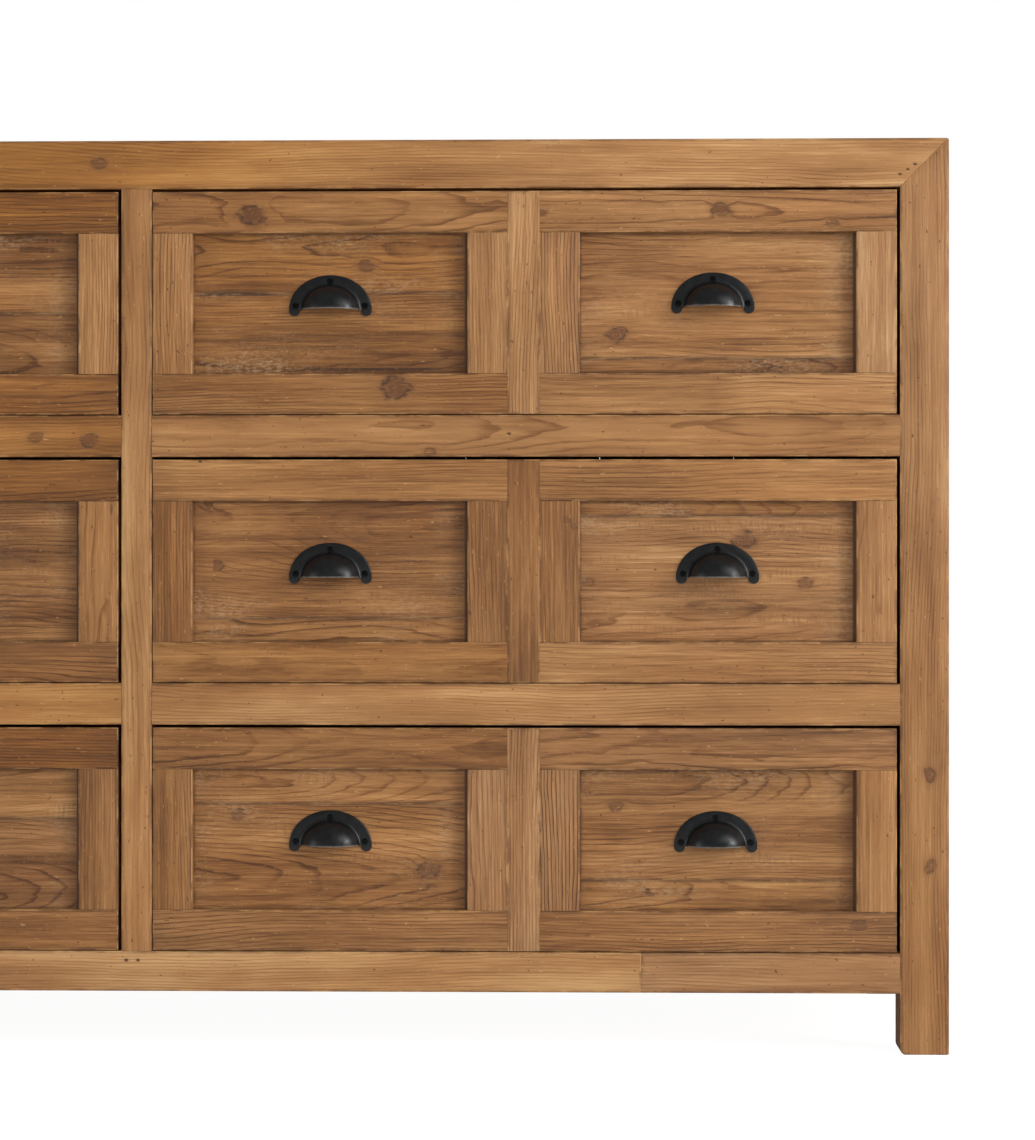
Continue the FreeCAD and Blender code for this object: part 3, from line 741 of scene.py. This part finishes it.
# %% Store the grain of a board
grain_layers = ("log", "place", "reach", "tone", "tint", "knot", "crack")
far_knot = (0.0, 9.0, 0.01)     # for a board without one: so far off that it doesn't show
far_crack = (9.0, 9.0, 0.001)
crack_slack = 0.002             # a crack may end this far past the edge of its part of the panel
end_grain_step = 0.26           # sawn ends soak up more wax and look darker
inner_face_shade_step = 0.60            # painted shade: a post's inner face, under the chest, is made this much darker, and also duller
mitre_line_step = 0.80          # grime sits in the eased edges of a mitre
mitre_slope = 0.3               # these edges slope by at least this much on all three axes


def tint_of(warmth):
    """The factors for red, green and blue that make a board more orange, or cooler below zero."""
    return (1.0 + 0.03 * warmth, 1.0 - 0.06 * warmth, 1.0 - 0.38 * warmth)


def darker_by(face, facing, along, shaded_inner_face):
    """How much darker a face is than its board, painted shade on a post's inner face included."""
    step = shaded_inner_face * inner_face_shade_step + (end_grain_step if facing == along else 0.0)
    if min(abs(c) for c in face.normal) > mitre_slope:
        step += mitre_line_step
    return step


def in_crack(point, middle_point, low, high):
    """A point's place along and across the crack that lies nearest to the middle of its face."""
    on_board = [crack for crack in front_cracks
                if low.x - crack_slack < crack[0] and crack[1] < high.x + crack_slack
                and low.z - crack_slack < crack[2] < high.z + crack_slack and low.y < front_y + front_layer]
    if not on_board:
        return far_crack
    start, end, height, half_width = min(on_board, key=lambda c: abs((c[0] + c[1]) / 2 - middle_point.x))
    return ((2 * point.x - start - end) / (end - start), point.z - height, half_width)


def store_grain(bm, faces, number, knots, marks, shown, flat_sawn, shade_inner_faces):
    """Writes a board's place in its log, its look, its nearest knot and how far each face shows."""
    low, high = limits([v.co for face in faces for v in face.verts])
    centre, size = (low + high) / 2, high - low
    shown_low = Vector([max(low[axis], shown[0][axis]) for axis in range(3)])
    shown_high = Vector([min(high[axis], shown[1][axis]) for axis in range(3)])
    shown_centre, shown_size = (shown_low + shown_high) / 2, shown_high - shown_low
    u, v, w = grain_axes(low, high)
    start, pith_across, pith_below = place_in_log(number, size[v], flat_sawn)
    layers = bm.loops.layers.float_vector
    for face in faces:
        middle_point = face.calc_center_median()
        nearest = min(knots, key=lambda k: abs(k[0][u] - middle_point[u]), default=None)
        facing = max(range(3), key=lambda axis: abs(face.normal[axis]))
        first, second = [axis for axis in (u, v, w) if axis != facing]
        # painted shade on a post's inner face, which faces under the chest
        shaded_inner_face = 1.0 if shade_inner_faces and facing == 0 and face.normal.x * centre.x < 0 else 0.0
        darker = darker_by(face, facing, u, shaded_inner_face)
        for loop in face.loops:
            step, ring_share, warmth = look_at(marks, u, loop.vert.co[u])
            local = loop.vert.co - centre
            on_face = loop.vert.co - shown_centre
            loop[layers["log"]] = (local[u] + start, local[v] + pith_across, local[w] + pith_below)
            loop[layers["place"]] = (on_face[first], on_face[second], 0.0)
            loop[layers["reach"]] = (shown_size[first] / 2, shown_size[second] / 2, 0.0)
            loop[layers["tone"]] = (step - darker, ring_share, shaded_inner_face)
            loop[layers["tint"]] = tint_of(warmth)
            loop[layers["knot"]] = far_knot
            if nearest:
                off = loop.vert.co - nearest[0]
                loop[layers["knot"]] = (off[u], off[v], nearest[1])
            loop[layers["crack"]] = in_crack(loop.vert.co, middle_point, low, high)


print(len(grain_layers), "values are stored at each corner of a face")

# %% [markdown]
# A board's triangles are merged into whole faces, because a bevel runs cleanly only round those. Once its
# edges are eased, the board is cut again, without taking anything away, wherever what it stores has to
# change: halfway between two knots, at each point of a board whose look changes, and at a glue line. A panel
# can be two boards glued edge to edge. It stays one solid, but each part gets a grain of its own, and the
# joint shows as the grimy line between them.

# %% Merge and cut a board
same_point = 1e-6               # corners closer than this are one corner
flat_turn = math.radians(1.0)   # faces that turn by less than this are one face
glue_lines = [(0.20, 0.7495), (0.60, 0.6845), (-0.30, 0.7300), (0.60, 0.5290), (0.20, 0.4280),
              (-0.50, 0.4700), (0.20, 0.2450), (0.60, 0.1700), (-0.20, 0.2300)]


def one_board(mesh, board):
    """A board of a node by itself, with its loose triangles merged and its flat parts made single faces."""
    bm = bmesh.new()
    bm.from_mesh(mesh)
    kept = set(board)
    bmesh.ops.delete(bm, geom=[f for f in bm.faces if f.index not in kept], context="FACES")
    bmesh.ops.remove_doubles(bm, verts=bm.verts, dist=same_point)
    bmesh.ops.dissolve_limit(bm, angle_limit=flat_turn, verts=bm.verts, edges=bm.edges)
    return bm


def cut_across(bm, faces, point, normal):
    """Cuts the faces of one board by a plane, without taking anything away."""
    geometry = list({v for f in faces for v in f.verts}) + list({e for f in faces for e in f.edges}) + faces
    result = bmesh.ops.bisect_plane(bm, geom=geometry, plane_co=point, plane_no=normal, dist=same_point)
    return [item for item in result["geom"] if isinstance(item, bmesh.types.BMFace)]


def split_at_glue_line(bm, faces):
    """A panel's faces in one list for each of its glued boards."""
    low, high = limits([v.co for f in faces for v in f.verts])
    for x, z in glue_lines:
        if low.x < x < high.x and low.z < z < high.z:
            faces = cut_across(bm, faces, (0, 0, z), (0, 0, 1))
            return [[f for f in faces if f.calc_center_median().z < z],
                    [f for f in faces if f.calc_center_median().z >= z]]
    return [faces]


def cut_points(knots, marks, is_panel):
    """Points between two knots, between two cracks, and at each point of a board whose look changes."""
    points = [(first[0] + second[0]) / 2 for first, second in zip(knots, knots[1:])]
    if is_panel:
        points += [(sum(first[:2] + second[:2]) / 4, 0.0, 0.0)
                   for first, second in zip(front_cracks, front_cracks[1:])]
    if len(marks) > 1:
        points += [(x, 0.0, z) for x, z, *look in marks]
    return points


print(len(glue_lines), "glue lines")

# %% [markdown]
# Each finished piece takes the place of one node. It could replace several at once, but then they could not
# be told apart. The piece rides on the same body as its node, so it slides with its drawer, and it wears the
# finish that the node's slot names.

# %% Let a piece stand for its node
wood_turn, metal_turn = math.radians(32), math.radians(38)      # an edge that turns by more looks sharp


def as_object(bm, name):
    """Ends a bmesh and returns it as an object of the scene."""
    mesh = bpy.data.meshes.new(name)
    bm.to_mesh(mesh)
    bm.free()
    piece = bpy.data.objects.new(name, mesh)
    bpy.context.scene.collection.objects.link(piece)
    return piece


def stand_for(piece, node, smooth_turn):
    """Smooths a piece, gives it its finish, and lets it stand for a node on the same body."""
    piece.data.polygons.foreach_set("use_smooth", [True] * len(piece.data.polygons))
    piece.data.set_sharp_from_angle(angle=smooth_turn)
    piece.data.materials.append(finishes[slot_of[node]])
    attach(piece, body_of[node])
    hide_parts(node)
    return piece


print(len(slot_of), "nodes, in the finishes", ", ".join(sorted(set(slot_of.values()))))

# %% [markdown]
# With these steps a whole wooden node is made: its boards are merged, eased and given their grain one by
# one, so that no bevel runs from one board into the next, and are then put together.

# %% Make the wooden pieces
bevel_of = {"inner_pine": 0.0006, "bottom_ply": 0.0004, "back_pine": 0.0008, "side_pine": 0.0007,
            "top_pine": 0.0006}
panel_tongue = 0.0075           # this much of a panel is hidden in its grooves
tongue_of = {"panel_pine": panel_tongue, "side_pine": panel_tongue / 2, "top_pine": panel_tongue / 2}
flat_sawn_every = 4             # each fourth board is flat sawn, and each panel is
board_numbers = itertools.count(1)


def grain_of_board(bm, node):
    """Cuts a board where its look changes, and stores its grain."""
    is_panel = slot_of[node] == "panel_pine"
    for name in grain_layers:
        bm.loops.layers.float_vector.new(name)
    low, high = limits([v.co for v in bm.verts])
    through, hidden = grain_axes(low, high)[2], tongue_of.get(slot_of[node], 0.0)
    inset = Vector([0.0 if axis == through else hidden for axis in range(3)])
    whole = list(bm.faces)
    for faces in split_at_glue_line(bm, whole) if is_panel else [whole]:
        number = next(board_numbers)
        knots, marks = marks_of(faces, number)
        along = grain_axes(*limits([v.co for f in faces for v in f.verts]))[0]
        knots.sort(key=lambda knot: knot[0][along])
        normal = [1.0 if axis == along else 0.0 for axis in range(3)]
        for point in cut_points(knots, marks, is_panel):
            faces = cut_across(bm, faces, point, normal)
        flat_sawn = is_panel or number % flat_sawn_every == 0
        store_grain(bm, faces, number, knots, marks, (low + inset, high - inset), flat_sawn,
                    node.startswith("post_"))


def first_corner(mesh, board):
    return tuple(round(c, 5) for c in limits(corners_of(mesh, board))[0])


def wooden_piece(node):
    source = frame["nodes"][node].data
    together = bmesh.new()
    for board in sorted(boards_of(source), key=lambda board: first_corner(source, board)):
        bm = one_board(source, board)
        ease_edges(bm, bevel_of.get(slot_of[node], hairline))
        grain_of_board(bm, node)
        finished = bpy.data.meshes.new("finished_board")
        bm.to_mesh(finished)
        bm.free()
        together.from_mesh(finished)
        bpy.data.meshes.remove(finished)
    return stand_for(as_object(together, node + "_boards"), node, wood_turn)


for node in wooden:
    wooden_piece(node)
print(next(board_numbers) - 1, "boards in", len(wooden), "pieces")

# %% [markdown]
# The pulls are cast in black iron, with a soft sheen and a skin that is slightly uneven. In places along the
# lip a pale band of bare iron is painted, which stands for the highlight that the lip catches. A plain black
# would do from afar, but close by it looks like plastic, so one noise changes its shade and roughness, and a
# finer one makes its skin uneven. The same finish, darker and a little smoother, goes on the screws.

# %% Iron finish
bare_iron_highlight = paint(132, 124, 114)
lip_height = (0.0003, 0.0017)     # the painted highlight of bare iron fades out over this height above the lip's plane
lip_depth = (-0.008, -0.004)      # and over this distance in front of the panel, so the flange has none
skin_depth = 0.0002


def black_metal(name, colour, roughness, grain, shine):
    material, tree, shader = new_material(name)
    where = tree.nodes.new("ShaderNodeTexCoord").outputs["Object"]
    cast = noise(tree, where, 900.0, 3.0, 0.6)
    wear = noise(tree, where, 160.0, 3.0, 0.6)
    shade = remap(tree, wear, 0.35, 0.7, 0.0, 1.0)
    skin = blended(tree, shade, colour, tuple(1.5 * c for c in colour[:3]) + (1.0,))
    place = parts_of(tree, read(tree, "in_pull"))
    # a painted highlight along the lip, in the pale colour of bare iron, in places
    lip_highlight = product(tree, fading(tree, place[2], *lip_height, 0.65), fading(tree, place[1], *lip_depth),
                     remap(tree, wear, 0.3, 0.6, 0.5, 1.0))
    tree.links.new(blended(tree, lip_highlight, skin, bare_iron_highlight), shader.inputs["Base Color"])
    uneven = remap(tree, wear, 0.3, 0.7, roughness - 0.07, roughness + 0.07)
    tree.links.new(uneven, shader.inputs["Roughness"])
    add_relief(tree, shader, cast, grain, skin_depth)
    shader.inputs["Specular IOR Level"].default_value = shine
    return material


finishes["black_iron"] = black_metal("black_iron", paint(15, 16, 17), 0.36, 0.4, 0.31)
finishes["black_steel"] = black_metal("black_steel", paint(5, 5, 5), 0.30, 0.2, 0.12)
print("metal finishes made")

# %% [markdown]
# A cup pull is a quarter of an oval dome on a flat flange. A sphere could be cut in four, but its wall and
# its soft corner would need more work. Here one outline, with dome, soft corner, flange and hollow, is spun
# half a turn about the axis through the lip, and then stretched sideways into an oval.

# %% Dome and flange of a cup pull
cup_radius, cup_wall = 0.0245, 0.002
flange_top, flange_half_width, flange_thickness = 0.0345, 0.041, 0.0022
fillet = 0.0030
dome_end = math.radians(80)
dome_steps, spin_steps = 14, 48
corner_shares = (0.35, 0.65, 0.9)         # points on the soft corner between dome and flange
corner_run_out = 0.0006
flange_rim = ((-0.0010, 0.0), (-0.0003, 0.0004), (0.0, 0.0011))     # its eased edge, up and back


def pull_outline():
    """Distances from the axis and depths, from the front of the dome round to the front of the hollow."""
    points = []
    for i in range(dome_steps):
        angle = dome_end * i / (dome_steps - 1)
        points.append((cup_radius * math.sin(angle), -cup_radius * math.cos(angle)))
    end_z, end_y = points[-1]
    foot_z = end_z + fillet
    for share in corner_shares:
        points.append((end_z + (foot_z - end_z) * share ** 1.6,
                       end_y + (-flange_thickness - end_y) * share ** 0.7))
    points.append((foot_z + corner_run_out, -flange_thickness))
    points += [(flange_top + up, -flange_thickness + back) for up, back in flange_rim]
    points += [(flange_top, 0.0), (cup_radius - cup_wall, 0.0)]
    hollow_radius = cup_radius - cup_wall
    for i in range(1, dome_steps):
        angle = math.radians(90.0) * (dome_steps - 1 - i) / (dome_steps - 1)
        points.append((hollow_radius * math.sin(angle), -hollow_radius * math.cos(angle)))
    return points


def dome_and_flange():
    bm = bmesh.new()
    outline = [bm.verts.new((z, y, 0.0)) for z, y in pull_outline()]
    edges = [bm.edges.new(pair) for pair in zip(outline, outline[1:])]
    bmesh.ops.spin(bm, geom=outline + edges, cent=(0, 0, 0), axis=(0, -1, 0), angle=math.pi,
                   steps=spin_steps, use_merge=False, use_duplicate=False)
    bmesh.ops.remove_doubles(bm, verts=bm.verts, dist=same_point)
    bmesh.ops.holes_fill(bm, edges=[e for e in bm.edges if e.is_boundary], sides=0)
    stretch = Vector((flange_half_width / flange_top, 1, 1))
    bmesh.ops.scale(bm, vec=stretch, verts=bm.verts)
    bmesh.ops.recalc_face_normals(bm, faces=bm.faces)
    return as_object(bm, "cup_pull_casting")


print("the outline of a pull has", len(pull_outline()), "points")

# %% [markdown]
# The two ends of the flange are drawn down into round lobes that carry the lower screws. Each lobe is a
# short bar with its upper half moved up. The lobes are joined to the casting, and the seats of the screw
# heads cut out of it, by booleans. That is simple here because all are closed solids, but two faces must not
# lie in one plane, so a lobe is a hair thinner than the flange.

# %% Lobes and screw seats
lobe_radius, lobe_center_z = 0.0054, -0.0006
lobe_rise, lobe_edge = 0.0035, 0.0007
lobe_inset = 0.00002
lower_screw_x, lower_screw_z, upper_screw_drop = 0.0342, 0.0038, 0.0065
head_radius, seat_radius, seat_depth = 0.0031, 0.0034, 0.0014
seat_cut_front = -0.02          # well in front of the flange
lobe_sides, seat_sides = 40, 32


def round_bar(radius, y_back, y_front, sides, x=0.0, z=0.0, cut_edge=0.0, end_radius=None):
    """A short round bar along Y. The rim of its front can be eased, and its back can be narrower."""
    bm = bmesh.new()
    bmesh.ops.create_cone(bm, cap_ends=True, segments=sides, radius1=end_radius or radius, radius2=radius,
                          depth=y_back - y_front)
    if cut_edge:
        rim = [e for e in bm.edges if all(v.co.z > 0 for v in e.verts)]
        bmesh.ops.bevel(bm, geom=rim, offset=cut_edge, offset_type="OFFSET", segments=3, profile=0.5,
                        affect="EDGES", clamp_overlap=True, material=-1)
    bmesh.ops.rotate(bm, verts=bm.verts, cent=(0, 0, 0), matrix=Matrix.Rotation(math.pi / 2, 3, "X"))
    bmesh.ops.translate(bm, verts=bm.verts, vec=(x, (y_back + y_front) / 2, z))
    return bm


def lobe(side):
    """A rounded flange end: a round plate whose upper half is drawn up into the flange."""
    bm = round_bar(lobe_radius, -lobe_inset, -flange_thickness + lobe_inset, lobe_sides, cut_edge=lobe_edge)
    bmesh.ops.translate(bm, verts=[v for v in bm.verts if v.co.z > same_point], vec=(0, 0, lobe_rise))
    bmesh.ops.translate(bm, verts=bm.verts, vec=(side * (flange_half_width - lobe_radius), 0, lobe_center_z))
    return as_object(bm, "lobe")


def after_boolean(piece, tool, operation):
    """The piece joined with a tool, or cut by it. The tool is taken away."""
    step = piece.modifiers.new("step", "BOOLEAN")
    step.operation, step.solver, step.object = operation, "EXACT", tool
    bpy.context.view_layer.update()
    done = bpy.data.meshes.new_from_object(piece.evaluated_get(bpy.context.evaluated_depsgraph_get()))
    piece.modifiers.clear()
    piece.data = done
    bpy.data.objects.remove(tool)
    return piece


screw_points = [(0.0, flange_top - upper_screw_drop), (-lower_screw_x, lower_screw_z),
                (lower_screw_x, lower_screw_z)]
casting = dome_and_flange()
for side in (-1, 1):
    casting = after_boolean(casting, lobe(side), "UNION")
for x, z in screw_points:
    seat = round_bar(seat_radius, -flange_thickness + seat_depth, seat_cut_front, seat_sides, x, z)
    casting = after_boolean(casting, as_object(seat, "seat"), "DIFFERENCE")
in_pull = casting.data.attributes.new("in_pull", "FLOAT_VECTOR", "POINT")
for vertex in casting.data.vertices:
    in_pull.data[vertex.index].vector = vertex.co
print("cup pull:", len(casting.data.polygons), "faces, from", limits([v.co for v in casting.data.vertices]))

# %% [markdown]
# The screw heads lie in seats cut into the flange. Each has a cross-shaped recess, cut by two tapered bars,
# and a tapered shank that goes on into the panel. A black cross drawn on the head would be simpler, but it
# would stay flat when the light comes from the side.

# %% Screw
head_stand_out, head_edge, head_sides = 0.0002, 0.00035, 28
head_front = -flange_thickness - head_stand_out
bar_length, bar_depth, bar_width = 0.0037, 0.0024, 0.00085
bar_taper = (0.35, 1.0, 0.6)    # how much of its length, depth and width a bar keeps at its bottom
recess_turn = 0.35
shank_radius, shank_tip_radius, shank_start, shank_tip, shank_sides = 0.0014, 0.0005, -0.0010, 0.0098, 16


def cross_bar(angle):
    """One arm of the recess, narrower towards the bottom."""
    bm = bmesh.new()
    bmesh.ops.create_cube(bm, size=1.0)
    bmesh.ops.scale(bm, vec=(bar_length, bar_depth, bar_width), verts=bm.verts)
    bmesh.ops.scale(bm, vec=bar_taper, verts=[v for v in bm.verts if v.co.y > 0])
    bmesh.ops.rotate(bm, verts=bm.verts, cent=(0, 0, 0), matrix=Matrix.Rotation(angle, 3, "Y"))
    bmesh.ops.translate(bm, verts=bm.verts, vec=(0, head_front, 0))
    return as_object(bm, "cross_bar")


screw = as_object(round_bar(head_radius, -flange_thickness + seat_depth, head_front, head_sides,
                            cut_edge=head_edge), "screw_head")
for angle in (recess_turn, recess_turn + math.pi / 2):
    screw = after_boolean(screw, cross_bar(angle), "DIFFERENCE")
shank = round_bar(shank_radius, shank_tip, shank_start, shank_sides, end_radius=shank_tip_radius)
screw = after_boolean(screw, as_object(shank, "shank"), "UNION")
print("screw:", len(screw.data.polygons), "faces, from", limits([v.co for v in screw.data.vertices]))

# %% [markdown]
# Each drawer carries two pulls and six screws. Their places could be written down once more, but the solids
# already say where they are: each pull's box gives its middle, the height of its lip, and the panel's face.
# So the ones that were fitted a little off the middle come out right too.

# %% Place pulls and screws


def copies(name, part, places):
    """One piece made of copies of a part at several places."""
    bm = bmesh.new()
    for place in places:
        before = len(bm.verts)
        bm.from_mesh(part.data)
        bm.verts.ensure_lookup_table()
        bmesh.ops.translate(bm, verts=bm.verts[before:], vec=place)
    return as_object(bm, name)


def pull_places(mesh):
    """For each pull of a node, the middle of its lip on the panel's face."""
    places = []
    for solid in boards_of(mesh):
        low, high = limits(corners_of(mesh, solid))
        places.append(Vector(((low.x + high.x) / 2, high.y, low.z + lobe_radius - lobe_center_z)))
    return places


drawers = [body for body in frame["bodies"] if body != "carcass"]
for drawer in drawers:
    places = pull_places(frame["nodes"][drawer + "_cup_pulls"].data)
    stand_for(copies(drawer + "_castings", casting, places), drawer + "_cup_pulls", metal_turn)
    heads = [place + Vector((x, 0, z)) for place in places for x, z in screw_points]
    stand_for(copies(drawer + "_screws", screw, heads), drawer + "_pull_screws", metal_turn)
bpy.data.objects.remove(casting)
bpy.data.objects.remove(screw)
print("pulls and screws on", len(drawers), "drawers")

# %% [markdown]
# The floor is plain and pale. A white floor under lamps turns grey towards its far end. So the camera sees
# mostly its own soft glow, and only a part of the light that falls on it, and a faint shadow of the chest
# stays.

# %% Floor
floor_size = 30.0
floor_glow, glow_share = 1.20, 0.8
bm = bmesh.new()
bmesh.ops.create_grid(bm, x_segments=1, y_segments=1, size=floor_size)
floor = as_object(bm, "floor")
floor_paint, tree, shader = new_material("floor_paint")
shader.inputs["Base Color"].default_value = (0.8, 0.8, 0.8, 1.0)
shader.inputs["Roughness"].default_value = 0.9
glow = tree.nodes.new("ShaderNodeEmission")
glow.inputs["Strength"].default_value = floor_glow
rays = tree.nodes.new("ShaderNodeLightPath").outputs
seen = largest(tree, rays["Is Camera Ray"], rays["Is Glossy Ray"], rays["Is Transmission Ray"])
mixed = tree.nodes.new("ShaderNodeMixShader")
tree.links.new(product(tree, seen, glow_share), mixed.inputs[0])
tree.links.new(shader.outputs[0], mixed.inputs[1])
tree.links.new(glow.outputs[0], mixed.inputs[2])
tree.links.new(mixed.outputs[0], tree.nodes["Material Output"].inputs["Surface"])
floor.data.materials.append(floor_paint)
print("floor", 2 * floor_size, "m wide")

# %% [markdown]
# The air round the chest is white, as in a studio. The camera sees it at full brightness, but it lights the
# chest more weakly, so that it fills the shadows without washing them out.

# %% World
studio_light = 0.30
world = bpy.data.worlds.new("studio")
bpy.context.scene.world = world
world.use_nodes = True
tree = world.node_tree
background = tree.nodes["Background"]
rays = tree.nodes.new("ShaderNodeLightPath").outputs
seen = largest(tree, rays["Is Camera Ray"], rays["Is Transmission Ray"])
brightness = total(tree, studio_light, product(tree, seen, 1.0 - studio_light))
tree.links.new(brightness, background.inputs["Strength"])
background.inputs["Color"].default_value = (1.0, 1.0, 1.0, 1.0)
print("studio light", studio_light)

# %% [markdown]
# A large soft lamp stands in front. The strongest one stands far to the right, so that its light falls at a
# slant, the right wall of each panel's recess throws a soft shadow, and each pull has its highlight low down
# on the right. A weak one on the left gives the pulls a fainter one there, a high and wide one on the right
# gives their domes a soft sheen, and the last one is over the top.

# %% Lamps
front_aim = (0.2, front_y, 0.45)
lamps = (        # name, place, what it is aimed at, width and height, power, and whether the pulls mirror it
    ("right_lamp", (5.0, -2.4, 1.7), front_aim, (1.2, 1.6), 145.0, True),
    ("left_lamp", (-3.6, -2.4, 0.8), front_aim, (0.8, 1.2), 22.0, True),
    ("high_lamp", (3.2, -2.5, 2.6), (0.3, front_y, 0.55), (2.8, 1.6), 42.0, True),
    ("front_lamp", (0.7, -5.4, 1.5), front_aim, (3.2, 2.2), 40.0, False),
    ("top_lamp", (0.2, -1.2, 3.2), (0.0, 0.0, 0.6), (2.0, 2.0), 22.0, False),
)
for name, place, aim, size, power, mirrored in lamps:
    lamp = bpy.data.lights.new(name, "AREA")
    lamp.shape = "RECTANGLE"
    lamp.size, lamp.size_y = size
    lamp.energy = power
    holder = bpy.data.objects.new(name, lamp)
    holder.visible_glossy = mirrored
    holder.location = place
    holder.rotation_euler = (Vector(aim) - Vector(place)).to_track_quat("-Z", "Y").to_euler()
    bpy.context.scene.collection.objects.link(holder)
print(len(lamps), "lamps")
